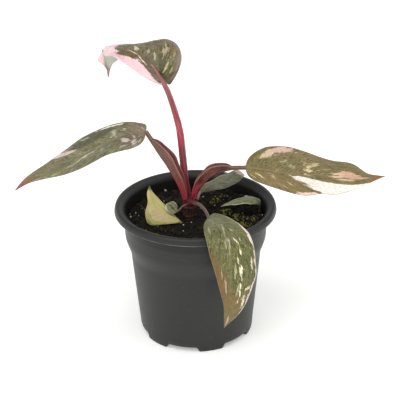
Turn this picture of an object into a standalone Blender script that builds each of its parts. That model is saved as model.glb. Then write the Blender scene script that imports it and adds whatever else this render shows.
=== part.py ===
"""Variegated climbing aroid in a four-inch nursery pot.

A thin-walled black plastic pot on six feet is filled with potting mix. One short
woody stem stands in the mix. Four large leaves and one small one leave its top on
petioles, a round juvenile leaf hangs from a thread of a stalk, and two young leaves
come out of the mix on stalks of their own. Each blade is a thin waved sheet lofted
between its midrib and its two margins.

Units are metres in the mesh and millimetres in the dimensions below. +Z is up, +X is
to the right of the viewer, who stands on the -Y side. The origin is on the floor,
under the pot's axis.
"""
import math

import bmesh
import bpy
import numpy as np

MM = 0.001
GAP = 0.35                     # clearance between neighbouring pieces

# Pot
SEGMENTS = 60                  # facets round the pot, six degrees each
FEET = 6
FOOT_FACETS = 4                # 24 degrees of foot, then 36 degrees of notch
FIRST_EDGE_DEG = 3.0           # azimuth of the first foot's edge, from -Y toward +X
NOTCH_HEIGHT = 3.1
FLOOR_THICKNESS = 1.1
FOOT_WIDTH = 3.0
BASE_RADIUS = 38.3
SHOULDER = (44.0, 62.0)        # radius, height where the taper meets the collar's chamfer
COLLAR_FOOT = (47.3, 70.0)
COLLAR_TOP = (47.9, 88.0)
LIP_BOTTOM = (54.0, 88.8)
LIP_TOP = (52.7, 93.0)
MOUTH = (50.2, 93.0)
WALL = 0.95
DRAINS = 6
DRAIN_RADIUS = 3.5
DRAIN_CIRCLE = 27.0

# Potting mix
SOIL_TOP = 82.0

# Stem and leaves
STEM_AXIS = [(-3.0, 0.0, 66.0), (-3.1, 0.0, 78.0), (-3.6, 0.1, 88.0), (-4.0, 0.2, 96.6)]
STEM_RADII = [4.0, 4.6, 4.5, 4.8]
STEM_NODE_HEIGHTS = (84.5, 90.5)
STEM_NODE_SWELL = 0.35
BLADE_THICKNESS = 0.7
BASE_HALF_WIDTH = 1.2
TIP_HALF_WIDTH = 0.35
JOINT_SHARE = 0.006
SWEEP = 1.35                   # forward sweep of the side veins
SHEATH_RISE = 0.6


def curve(points, shares):
    """Smooth curve through the points, sampled at the given shares of its length.

    The curve is a cubic Hermite through the points with chord-length parameters.
    """
    p = np.array(points, float)
    chord = np.linalg.norm(np.diff(p, axis=0), axis=1)
    knot = np.concatenate([[0.0], np.cumsum(chord)])
    slope = np.gradient(p, knot, axis=0)
    dense = np.linspace(0.0, knot[-1], 40 * len(p))
    i = np.clip(np.searchsorted(knot, dense, side="right") - 1, 0, len(p) - 2)
    h = chord[i][:, None]
    u = ((dense - knot[i]) / chord[i])[:, None]
    line = ((2 * u**3 - 3 * u**2 + 1) * p[i] + (u**3 - 2 * u**2 + u) * h * slope[i]
            + (3 * u**2 - 2 * u**3) * p[i + 1] + (u**3 - u**2) * h * slope[i + 1])
    step = np.linalg.norm(np.diff(line, axis=0), axis=1)
    length = np.concatenate([[0.0], np.cumsum(step)])
    at = np.asarray(shares) * length[-1]
    return np.stack([np.interp(at, length, line[:, axis]) for axis in range(3)], axis=1)


def unit(v):
    """Vectors of an array scaled to length one."""
    return v / np.maximum(np.linalg.norm(v, axis=-1, keepdims=True), 1e-9)


def srgb(code):
    """Linear colour of a hex code."""
    parts = [int(code[i:i + 2], 16) / 255 for i in (0, 2, 4)]
    return [c / 12.92 if c <= 0.04045 else ((c + 0.055) / 1.055) ** 2.4 for c in parts]


def add_piece(name, vertices, faces, colour, roughness, finish):
    """One closed, named solid with its own material; vertices in millimetres."""
    mesh = bpy.data.meshes.new(name)
    mesh.from_pydata([tuple(MM * float(c) for c in v) for v in vertices], [], faces)
    bm = bmesh.new()
    bm.from_mesh(mesh)
    bmesh.ops.recalc_face_normals(bm, faces=bm.faces)
    bm.to_mesh(mesh)
    bm.free()
    piece = bpy.data.objects.new(name, mesh)
    bpy.context.scene.collection.objects.link(piece)
    material = bpy.data.materials.new(finish)
    material.use_nodes = True
    shader = material.node_tree.nodes["Principled BSDF"]
    shader.inputs["Base Color"].default_value = (*srgb(colour), 1.0)
    shader.inputs["Roughness"].default_value = roughness
    material.diffuse_color = (*srgb(colour), 1.0)
    mesh.materials.append(material)
    return piece


def cut(piece, bores):
    """Drill plain round holes: each bore is (x, y, bottom, top, radius)."""
    for x, y, bottom, top, radius in bores:
        mesh = bpy.data.meshes.new("bore")
        bm = bmesh.new()
        bmesh.ops.create_cone(bm, cap_ends=True, segments=20, radius1=MM * radius,
                              radius2=MM * radius, depth=MM * (top - bottom))
        bm.to_mesh(mesh)
        bm.free()
        tool = bpy.data.objects.new("bore", mesh)
        tool.location = (MM * x, MM * y, MM * (bottom + top) / 2)
        bpy.context.scene.collection.objects.link(tool)
        modifier = piece.modifiers.new("bore", "BOOLEAN")
        modifier.operation = "DIFFERENCE"
        modifier.solver = "EXACT"
        modifier.object = tool
        depsgraph = bpy.context.evaluated_depsgraph_get()
        cutmesh = bpy.data.meshes.new_from_object(piece.evaluated_get(depsgraph))
        piece.modifiers.clear()
        piece.data = cutmesh
        bpy.data.objects.remove(tool)


def ring(radius, height, segments=SEGMENTS):
    """One circle of points about the pot's axis, counted from the first foot's edge."""
    a = np.radians(FIRST_EDGE_DEG + np.arange(segments) * 360.0 / segments)
    return np.stack([radius * np.sin(a), -radius * np.cos(a), np.full(segments, height)], 1)


def lathe(profile):
    """Rings of a profile joined by quads; returns vertices and the side faces."""
    vertices = np.concatenate([ring(r, z) for r, z in profile])
    faces = []
    for level in range(len(profile) - 1):
        for k in range(SEGMENTS):
            n = (k + 1) % SEGMENTS
            a = level * SEGMENTS
            faces.append((a + k, a + n, a + SEGMENTS + n, a + SEGMENTS + k))
    return vertices, faces


def inner_radius(point):
    """The wall's inner face, one wall thickness inside an outer profile point."""
    return (point[0] - WALL, point[1])


def make_pot():
    """Tapered cup with a stepped collar, a flared hollow lip, six feet and drains."""
    floor_top = NOTCH_HEIGHT + FLOOR_THICKNESS
    base = (BASE_RADIUS + 0.3, NOTCH_HEIGHT)
    profile = [
        base,
        SHOULDER,
        COLLAR_FOOT,
        COLLAR_TOP,
        (COLLAR_TOP[0] + 0.4, LIP_TOP[1] - 1.6),
        (LIP_TOP[0] - WALL, LIP_TOP[1] - 1.2),
        (LIP_BOTTOM[0] - WALL, LIP_BOTTOM[1]),
        LIP_BOTTOM,
        (LIP_TOP[0] + 0.25, LIP_TOP[1] - 0.5),
        LIP_TOP,
        MOUTH,
        (COLLAR_TOP[0] - 0.7, LIP_TOP[1] - 3.0),
        inner_radius(COLLAR_TOP),
        inner_radius(COLLAR_FOOT),
        inner_radius(SHOULDER),
        (BASE_RADIUS + 0.4 - WALL, floor_top),
    ]
    vertices, faces = lathe(profile)
    vertices = list(vertices)
    last = (len(profile) - 1) * SEGMENTS
    faces.append(tuple(last + k for k in range(SEGMENTS)))
    inner = len(vertices)
    vertices += list(ring(BASE_RADIUS - FOOT_WIDTH, NOTCH_HEIGHT))
    faces.append(tuple(inner + k for k in reversed(range(SEGMENTS))))
    per_foot = SEGMENTS // FEET
    outer_foot = len(vertices)
    vertices += list(ring(BASE_RADIUS, 0.0))
    inner_foot = len(vertices)
    vertices += list(ring(BASE_RADIUS - FOOT_WIDTH + 0.2, 0.0))
    for k in range(SEGMENTS):
        n = (k + 1) % SEGMENTS
        if k % per_foot < FOOT_FACETS:
            faces.append((k, n, outer_foot + n, outer_foot + k))
            faces.append((outer_foot + k, outer_foot + n, inner_foot + n, inner_foot + k))
            faces.append((inner_foot + k, inner_foot + n, inner + n, inner + k))
        else:
            faces.append((inner + k, inner + n, n, k))
        if k % per_foot in (0, FOOT_FACETS):
            faces.append((k, outer_foot + k, inner_foot + k, inner + k))
    used = sorted({i for face in faces for i in face})
    index = {old: new for new, old in enumerate(used)}
    vertices = [vertices[i] for i in used]
    faces = [tuple(index[i] for i in face) for face in faces]
    pot = add_piece("pot", vertices, faces, "33332f", 0.38, "black_polypropylene")
    drains = []
    for k in range(DRAINS):
        a = math.radians(FIRST_EDGE_DEG + 42.0 + 60.0 * k)
        drains.append((DRAIN_CIRCLE * math.sin(a), -DRAIN_CIRCLE * math.cos(a),
                       NOTCH_HEIGHT - 1.0, floor_top + 1.0, DRAIN_RADIUS))
    cut(pot, drains)


def make_soil(bores):
    """Plug of potting mix that fills the pot up to eleven millimetres under the rim."""
    bottom = NOTCH_HEIGHT + FLOOR_THICKNESS + GAP
    rise = (SOIL_TOP - COLLAR_FOOT[1]) / (COLLAR_TOP[1] - COLLAR_FOOT[1])
    top_radius = COLLAR_FOOT[0] + rise * (COLLAR_TOP[0] - COLLAR_FOOT[0]) - WALL - GAP
    profile = [
        (BASE_RADIUS + 0.4 - WALL - GAP, bottom),
        (SHOULDER[0] - WALL - GAP, SHOULDER[1]),
        (COLLAR_FOOT[0] - WALL - GAP, COLLAR_FOOT[1]),
        (top_radius, SOIL_TOP),
    ]
    vertices, faces = lathe(profile)
    last = (len(profile) - 1) * SEGMENTS
    faces.append(tuple(last + k for k in range(SEGMENTS)))
    faces.append(tuple(reversed(range(SEGMENTS))))
    soil = add_piece("soil", vertices, faces, "33291f", 0.95, "damp_potting_mix")
    cut(soil, bores)


def frames(line, up):
    """Tangent, side and upper direction at each point of a line, up held level."""
    tangent = unit(np.gradient(line, axis=0))
    side = unit(np.cross(tangent, np.array(up, float)))
    return tangent, side, np.cross(side, tangent)


def stalk(name, points, radii, colour, finish, rings=12, sides=12, up=(0.0, 0.35, 1.0)):
    """Round tapering stalk along a smooth line, with flat ends."""
    s = np.linspace(0, 1, rings)
    line = curve(points, s)
    radius = np.interp(s, np.linspace(0, 1, len(radii)), radii)
    tangent, side, upper = frames(line, up)
    a = np.arange(sides) * 2 * math.pi / sides
    grid = (line[:, None] + radius[:, None, None]
            * (np.cos(a)[None, :, None] * side[:, None] + np.sin(a)[None, :, None] * upper[:, None]))
    tube_piece(name, grid, colour, finish)


def tube_piece(name, grid, colour, finish):
    """Closed tube from rings of points."""
    rings, sides = grid.shape[:2]
    faces = [tuple(range(sides)), tuple((rings - 1) * sides + k for k in reversed(range(sides)))]
    for i in range(rings - 1):
        for k in range(sides):
            n = (k + 1) % sides
            faces.append((i * sides + k, i * sides + n, (i + 1) * sides + n, (i + 1) * sides + k))
    add_piece(name, grid.reshape(-1, 3), faces, colour, 0.45, finish)


def sheathed_petiole(name, points, radii, up, wing, wing_end, colour, finish):
    """Petiole whose lower part carries two thin upright wings, the open leaf sheath.

    A section is a round stalk with a flange at each upper corner. Along the length s the
    flange grows to the height wing at the share SHEATH_RISE of wing_end, and it rounds off
    bluntly at wing_end, by the factor 1 - q**4 of the share q left of the second half.
    """
    rings = 16
    s = np.linspace(0, 1, rings)
    line = curve(points, s)
    radius = np.interp(s, np.linspace(0, 1, len(radii)), radii)
    tangent, side, upper = frames(line, up)
    q = np.clip(2 * s / wing_end - 1, 0.0, 1.0)
    height = wing * np.minimum(1.0, s / (SHEATH_RISE * wing_end)) * (1 - q**4) + 0.3
    low = np.radians([205, 235, 270, 305, 335, 0])
    section = []
    for i in range(rings):
        r = radius[i]
        pts = [(r * math.cos(a), r * math.sin(a)) for a in low]
        for sign in (1, -1):
            root = np.array([sign * r * 0.80, r * 0.60])
            lean = unit(np.array([sign * 0.45, 1.0]))
            across = np.array([lean[1], -lean[0]]) * sign
            tip = root + lean * height[i]
            flange = [root + across * 0.38, tip + across * 0.32, tip - across * 0.32,
                      root - across * 0.38]
            if sign < 0:
                flange = flange[::-1]
                pts.append((0.0, r * 0.72))
            pts += [tuple(q) for q in flange]
        pts.append((-r, 0.0))
        section.append([line[i] + side[i] * x + upper[i] * y for x, y in pts])
    tube_piece(name, np.array(section), colour, finish)


def blade(name, midrib, left, right, colour, finish, rows=26, columns=5, crown=0.8,
          ripple=0.5, waves=3.0, phase=0.0, sinus=0.03):
    """Leaf blade lofted from its midrib to both margins and thickened.

    A row joins both margins at s to the midrib at ((s - sinus) / (1 - sinus)) ** SWEEP,
    and while s is under sinus, the lobes' share of the margin, it stays within
    JOINT_SHARE of the midrib's start. Across a row, at the share t
    from midrib to margin, the sheet stands off the straight row along its normal by
    crown*4*t*(1-t) + ripple*t**2*sin(2*pi*waves*s + phase), which fades out toward the
    base and the tip. Both faces carry the same triangles.
    """
    count = rows + 1
    s = np.linspace(0, 1, count)
    spine = curve(midrib, JOINT_SHARE * np.minimum(s / sinus, 1.0)
                  + (1 - JOINT_SHARE) * (np.maximum(s - sinus, 0.0) / (1 - sinus)) ** SWEEP)
    margins = [curve(left, s), curve(right, s)]
    width = unit(margins[0][1] - margins[1][1])
    margins[0][0] = spine[0] + width * BASE_HALF_WIDTH
    margins[1][0] = spine[0] - width * BASE_HALF_WIDTH
    margins[0][-1] = spine[-1] + unit(margins[0][-2] - margins[1][-2]) * TIP_HALF_WIDTH
    margins[1][-1] = spine[-1] - unit(margins[0][-2] - margins[1][-2]) * TIP_HALF_WIDTH
    s = s[:, None]
    halves = []
    for edge in margins:
        t = np.linspace(0, 1, columns + 1)[None, :]
        halves.append(spine[:, None] + (edge - spine)[:, None] * t[..., None])
    sheet = np.concatenate([halves[0][:, ::-1], halves[1][:, 1:]], axis=1)
    t = np.abs(np.linspace(-1, 1, 2 * columns + 1))[None, :]
    normal = unit(np.cross(np.gradient(sheet, axis=1), np.gradient(sheet, axis=0)))
    fade = np.minimum(1.0, np.minimum(6 * s, 5 * (1 - s)))
    swing = np.sin(2 * math.pi * waves * s + phase + 1.1 * np.sign(np.linspace(-1, 1, 2 * columns + 1)))
    offset = fade * (crown * 4 * t * (1 - t) + ripple * t**2 * swing)
    sheet = sheet + normal * offset[..., None]
    normal = unit(np.cross(np.gradient(sheet, axis=1), np.gradient(sheet, axis=0)))
    top = sheet + normal * BLADE_THICKNESS / 2
    under = sheet - normal * BLADE_THICKNESS / 2
    n = 2 * columns + 1
    half = count * n
    faces = []
    for i in range(rows):
        for j in range(n - 1):
            a, b, c, d = i * n + j, i * n + j + 1, (i + 1) * n + j + 1, (i + 1) * n + j
            pairs = ((a, b, c), (a, c, d)) if j < columns else ((a, b, d), (b, c, d))
            for tri in pairs:
                faces.append(tri)
                faces.append(tuple(half + k for k in reversed(tri)))
    loop = ([k for k in range(n)] + [i * n + n - 1 for i in range(1, count)]
            + [rows * n + j for j in reversed(range(n - 1))]
            + [i * n for i in reversed(range(1, rows))])
    for k, a in enumerate(loop):
        b = loop[(k + 1) % len(loop)]
        faces.append((b, a, half + a))
        faces.append((b, half + a, half + b))
    vertices = np.concatenate([top.reshape(-1, 3), under.reshape(-1, 3)])
    add_piece(name, vertices, faces, colour, 0.4, finish)


def make_stem():
    """Short woody stem with two swollen rings, cut flat where the petioles leave it."""
    rings = 14
    s = np.linspace(0, 1, rings)
    line = curve(STEM_AXIS, s)
    radius = np.interp(s, np.linspace(0, 1, len(STEM_RADII)), STEM_RADII)
    for height in STEM_NODE_HEIGHTS:
        radius = radius + STEM_NODE_SWELL * np.exp(-((line[:, 2] - height) / 1.2) ** 2)
    tangent, side, upper = frames(line, (0.0, 1.0, 0.0))
    a = np.arange(20) * 2 * math.pi / 20
    grid = (line[:, None] + radius[:, None, None]
            * (np.cos(a)[None, :, None] * side[:, None] + np.sin(a)[None, :, None] * upper[:, None]))
    tube_piece("stem", grid, "4a2a20", "woody_stem")


def clear_scene():
    """Start from nothing."""
    for item in list(bpy.data.objects):
        bpy.data.objects.remove(item)


clear_scene()
make_pot()
make_stem()

# Leaf that stands highest: red petiole, blade turned left and away, tip rolled down
stalk("petiole_top",
      [(-4.6, 2.6, 97.3), (-5.6, 2.6, 102), (-6.7, 2.6, 108.8), (-7.5, 3.2, 119.2),
       (-8.4, 5, 129.1), (-9.8, 8, 142.1), (-13.2, 12.3, 154.5), (-18.9, 16.9, 169.4),
       (-23.9, 19.5, 176.6), (-26.1, 20.8, 179.3)],
      [2.4, 2.5, 2.4, 2.3, 2.1, 1.9, 1.6, 1.15], "9c3648", "crimson_petiole", rings=16)
blade("blade_top",
      midrib=[(-27.6, 22, 181.7), (-36, 33, 185.2), (-45, 43, 185.9), (-54.4, 53, 184.3),
              (-61.5, 60.5, 179.2), (-61.2, 61, 173.6), (-59.6, 60, 168.8), (-58.7, 58.5, 160.6)],
      left=[(-28.9, 20.6, 181.4), (-25.9, 15.5, 177.9), (-23.1, 11.5, 175.3), (-21.1, 8.5, 173.2),
            (-24.9, 6, 175.6), (-32.3, 7, 180), (-39.6, 17, 181.3), (-50.5, 40, 179.3),
            (-52.0, 52, 174.7), (-55.4, 56, 170.5), (-57.3, 58, 165.8), (-58.7, 58.5, 160.6)],
      right=[(-25.3, 24.0, 180.9), (-23.2, 26.5, 175.8), (-21.2, 27.0, 171.9), (-19.1, 25.5, 169),
             (-16.7, 23.0, 167.9), (-13.1, 20.5, 172.8), (-8, 24.5, 184.8), (-11.2, 37, 190.6),
             (-19.3, 46, 191.5), (-31.8, 52, 186.6), (-50.5, 58, 183.3), (-62, 61.5, 177.8),
             (-65.7, 61.5, 171.1), (-61.9, 60, 168.8), (-59.7, 59, 165.5), (-58.7, 58.5, 160.6)],
      colour="8c9070", finish="variegated_leaf_olive", waves=2.5, phase=0.4, sinus=0.11)

# Leaf on the left: winged petiole, blade receding to the left
sheathed_petiole("petiole_left",
                 [(-6.6, -2.6, 97.2), (-8.6, -3.6, 105.3), (-12.2, -3.2, 113.1),
                  (-17.4, -0.6, 121.6), (-23.5, 3.2, 129.3), (-31.0, 7.4, 139.7)],
                 [1.8, 2.0, 1.9, 1.8, 1.5, 1.4], up=(1.0, -0.3, 0.6), wing=5.4, wing_end=0.88,
                 colour="7a4a42", finish="russet_petiole")
blade("blade_left",
      midrib=[(-31.8, 8, 140.9), (-49.4, 15, 135.2), (-66.1, 20, 124.6), (-84.8, 26, 112.5),
              (-105.6, 32, 98.7), (-125.7, 38, 85.2)],
      left=[(-32.1, 6, 140), (-32.4, 3, 138.8), (-34.8, 0, 136.2), (-39.9, -1, 133.6),
            (-48.8, 1, 130.5), (-57.3, 4, 126.5), (-66.7, 8, 119.9), (-79, 14, 111),
            (-89, 20, 104.8), (-100.3, 26, 99.7), (-118.5, 35, 90.4), (-125.7, 38, 85.2)],
      right=[(-31.2, 9, 141.9), (-31.3, 12, 143.6), (-37.7, 16, 144.3), (-54.4, 26, 139),
             (-66.5, 31, 132.5), (-77.5, 34, 125.4), (-89.9, 36, 115.5), (-101, 37, 106.9),
             (-120.1, 38, 92.2), (-125.7, 38, 85.2)],
      colour="7d7a58", finish="variegated_leaf_olive", rows=28, ripple=0.1, waves=4.0, phase=1.0)

# Leaf on the right: winged petiole, long blade with a broad near half
sheathed_petiole("petiole_right",
                 [(-1.0, -1.9, 97.55), (1.2, -2.4, 104.5), (5.9, -3, 111.2), (13.7, -4, 117.2),
                  (22.8, -5, 120.2), (31.8, -6, 121.1)],
                 [1.8, 2.0, 2.0, 1.8, 1.4, 1.3], up=(-0.7, 0.1, 1.0), wing=4.2, wing_end=0.80,
                 colour="8a5a48", finish="russet_petiole")
blade("blade_right",
      midrib=[(32.6, -6, 121.1), (45.7, -5, 118.7), (62.9, -3, 114.4), (82.2, -1, 112.5),
              (96.9, 1, 110.7), (110.5, 3, 108.9), (125.7, 5, 108.6)],
      left=[(32.3, -5, 121.4), (36.4, 4, 124.6), (46.1, 10, 128.4), (55.1, 14, 127.2),
            (74.4, 17, 121.7), (92.9, 15, 115.3), (105.6, 12, 114.5), (115.4, 7, 109.8),
            (125.7, 5, 108.6)],
      right=[(32.2, -7, 120.6), (34.6, -10, 117.1), (45.5, -18, 114.1), (62.4, -22, 110),
             (71.6, -22, 108.5), (81.6, -20, 108.2), (89.5, -18, 106), (97, -14, 106),
             (109.5, -6, 106.6), (125.7, 5, 108.6)],
      colour="7b7048", finish="variegated_leaf_olive", rows=26, waves=3.0, phase=2.0)

# Leaf in front: short petiole, blade lying over the rim and hanging down the pot
stalk("petiole_front",
      [(-0.9, -4.3, 94.6), (2.6, -8.6, 95.6), (5.8, -14.5, 95.2), (7.95, -23.4, 94.5)],
      [1.5, 1.4, 1.3, 1.2], "9a6a5c", "dull_pink_petiole", rings=9)
blade("blade_front",
      midrib=[(8.5, -24.9, 94.5), (13.1, -37.1, 96.2), (17.3, -49.1, 96.6), (19.9, -58.3, 94.4),
              (21.3, -61.5, 85.4), (21.9, -62.6, 69.8), (19.9, -62.5, 50.5), (17.9, -61, 33.4)],
      left=[(9.2, -23.5, 94.5), (11.1, -20.7, 95), (17.3, -24.4, 96), (22.7, -30.6, 96),
            (29.4, -39.8, 96), (33.8, -48.3, 95), (36.3, -56, 90.5), (37.7, -58, 79.3),
            (38.1, -59, 70.5), (36.1, -60, 64), (28.3, -61, 45.5), (17.9, -61, 33.4)],
      right=[(7.8, -26.4, 94.5), (5.9, -33.6, 95), (5.4, -45.6, 95.5), (6.5, -55.8, 94.5),
             (9.1, -60, 84.6), (11.8, -61, 75), (14.5, -61, 64), (17.2, -61, 51.2),
             (17.9, -61, 33.4)],
      colour="6f7440", finish="variegated_leaf_green", rows=26, crown=0.5, ripple=0.3, waves=3.0,
      phase=0.0)

# Small pale leaf behind the right petiole
stalk("petiole_back", [(1.2, 3.3, 93.3), (1.9, 5.8, 94.7), (2.85, 8.25, 95.75)], [1.1, 1.0, 0.9],
      "9a8a7a", "pale_petiole", rings=6, sides=10)
blade("blade_back",
      midrib=[(3.3, 9.2, 96.2), (10.6, 12, 100.2), (20.7, 15, 103.5), (33.5, 18, 104.5)],
      left=[(2.8, 10, 96.4), (5.2, 14, 98.9), (13.7, 18, 102.1), (22.4, 20, 105.4),
            (29.3, 20, 107.2), (33.5, 18, 104.5)],
      right=[(3.5, 8, 95.8), (9.3, 8, 97.6), (15.7, 9, 98), (23.9, 11, 99.7), (29.9, 14, 102),
             (33.5, 18, 104.5)],
      colour="8a9078", finish="variegated_leaf_grey", rows=12, columns=3, crown=0.4, ripple=0.3)

# Young arched leaf at the pot's right wall, on a stalk out of the mix
ARCHED_FOOT = (43.2, 7.4)
stalk("stalk_arched", [(*ARCHED_FOOT, 70), (*ARCHED_FOOT, 80), (43.3, 6.8, 85), (43.2, 5.8, 87.2)],
      [0.9, 0.9, 0.8, 0.7], "6a5a40", "twiggy_stalk", rings=7, sides=8)
blade("blade_arched",
      midrib=[(43.1, 5.3, 87.9), (41.2, 4, 91), (34.5, 3, 93.5), (25.8, 2, 92.2), (16.9, 0, 89.9)],
      left=[(42.6, 4, 88), (41, 0, 91.2), (38.7, -2, 92.5), (33.1, -3, 93.2), (26.2, -3, 92.6),
            (20.7, -2, 91.6), (16.9, 0, 89.9)],
      right=[(44, 6, 88.5), (43.4, 9, 90.4), (40.1, 11, 91.3), (35, 11, 91.8), (29.4, 9, 91.6),
             (22.3, 5, 90.4), (16.9, 0, 89.9)],
      colour="7c8462", finish="variegated_leaf_grey", rows=12, columns=3, crown=0.4, ripple=0.2)

# Cream leaf lying on the mix at the left
CREAM_FOOT = (-8.6, -10.2)
stalk("stalk_cream", [(*CREAM_FOOT, 72), (*CREAM_FOOT, 78), (-8.8, -10.2, 81.6), (-9.5, -10.1, 83)],
      [1.2, 1.2, 1.1, 0.9], "8a9040", "green_stalk", rings=7, sides=8)
blade("blade_cream",
      midrib=[(-10.4, -10, 83.7), (-16.2, -9, 87), (-23.4, -6, 91.5), (-28.3, -2, 97.7),
              (-30.4, 3, 104.2)],
      left=[(-11.6, -10.9, 83.4), (-20.2, -12.1, 83.2), (-31.1, -12, 83.6), (-33.1, -9, 90.5),
            (-31.5, -6, 95.5), (-31.8, 0, 101.5), (-30.4, 3, 104.2)],
      right=[(-9.6, -9, 83.6), (-14.5, -4, 86.4), (-19, -2, 91.1), (-24.5, 0, 96.4),
             (-29.6, 3, 101.9), (-30.4, 3, 104.2)],
      colour="b8ae78", finish="cream_leaf", rows=12, columns=3, crown=0.4, ripple=0.0)

# Round juvenile leaf on a thread of a stalk
stalk("stalk_round", [(-4.6, -5.2, 94.6), (-6.4, -7.8, 95.3), (-8.5, -8.8, 94.5),
                      (-10.7, -8.8, 92), (-11.9, -8.2, 90.5)],
      [0.6, 0.6, 0.55, 0.5], "a8a080", "thread_stalk", rings=9, sides=8)
blade("blade_round",
      midrib=[(-12.6, -8, 90), (-15.1, -6, 92.1), (-18.1, -4, 95)],
      left=[(-12.8, -9, 89.9), (-16.5, -9, 89.6), (-19.3, -8, 91.7), (-19.6, -6, 94.4),
            (-18.1, -4, 95)],
      right=[(-12.2, -7, 90), (-12, -4, 92.6), (-14.5, -2, 94.9), (-18.1, -4, 95)],
      colour="a8ac80", finish="variegated_leaf_pale", rows=9, columns=3, crown=0.3, ripple=0.0)

stem_foot = STEM_AXIS[0]
make_soil([(stem_foot[0], stem_foot[1], stem_foot[2] - GAP, SOIL_TOP + 5, max(STEM_RADII) + GAP),
           (*ARCHED_FOOT, 70 - GAP, SOIL_TOP + 5, 0.9 + GAP),
           (*CREAM_FOOT, 72 - GAP, SOIL_TOP + 5, 1.2 + 1.6 * GAP)])
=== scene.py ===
"""Variegated climbing aroid in its black nursery pot: the fine surfaces and finishes.

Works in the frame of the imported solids: metres, +Z up, origin on the floor under the
pot's axis, viewer on the -Y side. Dimensions in the sections below are millimetres.
"""
import math

import bmesh
import bpy
import numpy as np
from mathutils import Matrix, Vector


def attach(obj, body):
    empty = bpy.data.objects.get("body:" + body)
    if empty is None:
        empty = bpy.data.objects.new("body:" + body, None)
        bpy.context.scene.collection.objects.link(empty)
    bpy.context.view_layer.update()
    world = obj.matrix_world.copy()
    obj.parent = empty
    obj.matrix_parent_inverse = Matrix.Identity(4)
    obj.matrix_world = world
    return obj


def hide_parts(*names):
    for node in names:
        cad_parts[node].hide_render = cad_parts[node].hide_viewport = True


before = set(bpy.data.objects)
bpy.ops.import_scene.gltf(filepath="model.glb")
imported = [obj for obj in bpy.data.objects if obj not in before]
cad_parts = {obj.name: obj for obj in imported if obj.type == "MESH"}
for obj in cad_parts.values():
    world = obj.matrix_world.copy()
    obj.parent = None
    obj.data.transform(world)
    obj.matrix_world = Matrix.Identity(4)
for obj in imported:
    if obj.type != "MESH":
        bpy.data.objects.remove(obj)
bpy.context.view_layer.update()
scene = bpy.context.scene

# Camera: a short telephoto about 0.8 m away, looking 26 degrees down at the plant.
# The picture is square, and the lens is tilted half a degree in the hand.
aim = Vector((0.0031, 0.0, 0.0949))
distance = 0.8
elevation = math.radians(26.18)
roll = math.radians(-0.54)
backward = Vector((0.0, -math.cos(elevation), math.sin(elevation)))
level_right = Vector((1.0, 0.0, 0.0))
level_up = backward.cross(level_right)
right = level_right * math.cos(roll) + level_up * math.sin(roll)
up = level_up * math.cos(roll) - level_right * math.sin(roll)
lens = bpy.data.cameras.new("camera")
lens.lens = 108.3
lens.sensor_width = 36.0
camera = bpy.data.objects.new("camera", lens)
turn = Matrix((right, up, backward)).transposed()
camera.matrix_world = Matrix.Translation(aim + distance * backward) @ turn.to_4x4()
scene.collection.objects.link(camera)
scene.camera = camera
scene.view_settings.view_transform = "Standard"

# Studio: a backlit white table runs up into a white sweep on every side. Above the sweep
# the room is dimmer, and two wide soft lamps hang there.
world = bpy.data.worlds.new("white_sweep_and_dim_ceiling")
world.use_nodes = True
sky = world.node_tree.nodes
direction = sky.new("ShaderNodeTexCoord")
parts = sky.new("ShaderNodeSeparateXYZ")
world.node_tree.links.new(direction.outputs["Generated"], parts.inputs["Vector"])
fall = sky.new("ShaderNodeMapRange")
fall.interpolation_type = "SMOOTHSTEP"
for socket, value in (("From Min", 0.12), ("From Max", 0.6), ("To Min", 1.0), ("To Max", 0.4)):
    fall.inputs[socket].default_value = value
world.node_tree.links.new(parts.outputs["Z"], fall.inputs["Value"])
world.node_tree.links.new(fall.outputs["Result"], sky["Background"].inputs["Strength"])
sky["Background"].inputs["Color"].default_value = (1.0, 1.0, 1.0, 1.0)
scene.world = world
for lamp_name, place, size, watts in (("softbox", (-0.5, -0.9, 1.7), 1.8, 24.0),
                                      ("fill_panel", (0.9, 0.2, 1.5), 1.8, 11.0)):
    light = bpy.data.lights.new(lamp_name, "AREA")
    light.size = size
    light.energy = watts
    lamp = bpy.data.objects.new(lamp_name, light)
    lamp.location = place
    lamp.rotation_euler = (aim - Vector(place)).to_track_quat("-Z", "Y").to_euler()
    scene.collection.objects.link(lamp)


def linear(code):
    """Linear colour with alpha of an sRGB hex code."""
    parts = [int(code[i:i + 2], 16) / 255 for i in (0, 2, 4)]
    return (*[c / 12.92 if c <= 0.04045 else ((c + 0.055) / 1.055) ** 2.4 for c in parts], 1.0)


def finish_of(name, roughness, specular=0.5):
    """A new material named for its finish; returns it, its shader, and its node adder."""
    material = bpy.data.materials.new(name)
    material.use_nodes = True
    tree = material.node_tree
    shader = tree.nodes["Principled BSDF"]
    shader.inputs["Roughness"].default_value = roughness
    shader.inputs["Specular IOR Level"].default_value = specular

    def add(kind, inputs=None, **settings):
        """Adds one node: settings are its properties, inputs its values or links."""
        node = tree.nodes.new("ShaderNode" + kind)
        for key, value in settings.items():
            setattr(node, key, value)
        for key, value in (inputs or {}).items():
            if isinstance(value, bpy.types.NodeSocket):
                tree.links.new(value, node.inputs[key])
            else:
                node.inputs[key].default_value = value
        return node

    return material, shader, add


floor_mesh = bpy.data.meshes.new("studio_floor")
reach = 6.0
corners = [(-reach, -reach, 0), (reach, -reach, 0), (reach, reach, 0), (-reach, reach, 0)]
floor_mesh.from_pydata(corners, [], [(0, 1, 2, 3)])
floor = bpy.data.objects.new("studio_floor", floor_mesh)
scene.collection.objects.link(floor)
# Opal acrylic sheet, lit from below: matt, and white right up to the part's shadow.
acrylic, shader, add = finish_of("backlit_white_acrylic", 0.9, 0.2)
shader.inputs["Base Color"].default_value = linear("f4f4f1")
shader.inputs["Emission Color"].default_value = linear("ffffff")
shader.inputs["Emission Strength"].default_value = 0.3
floor_mesh.materials.append(acrylic)

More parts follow.
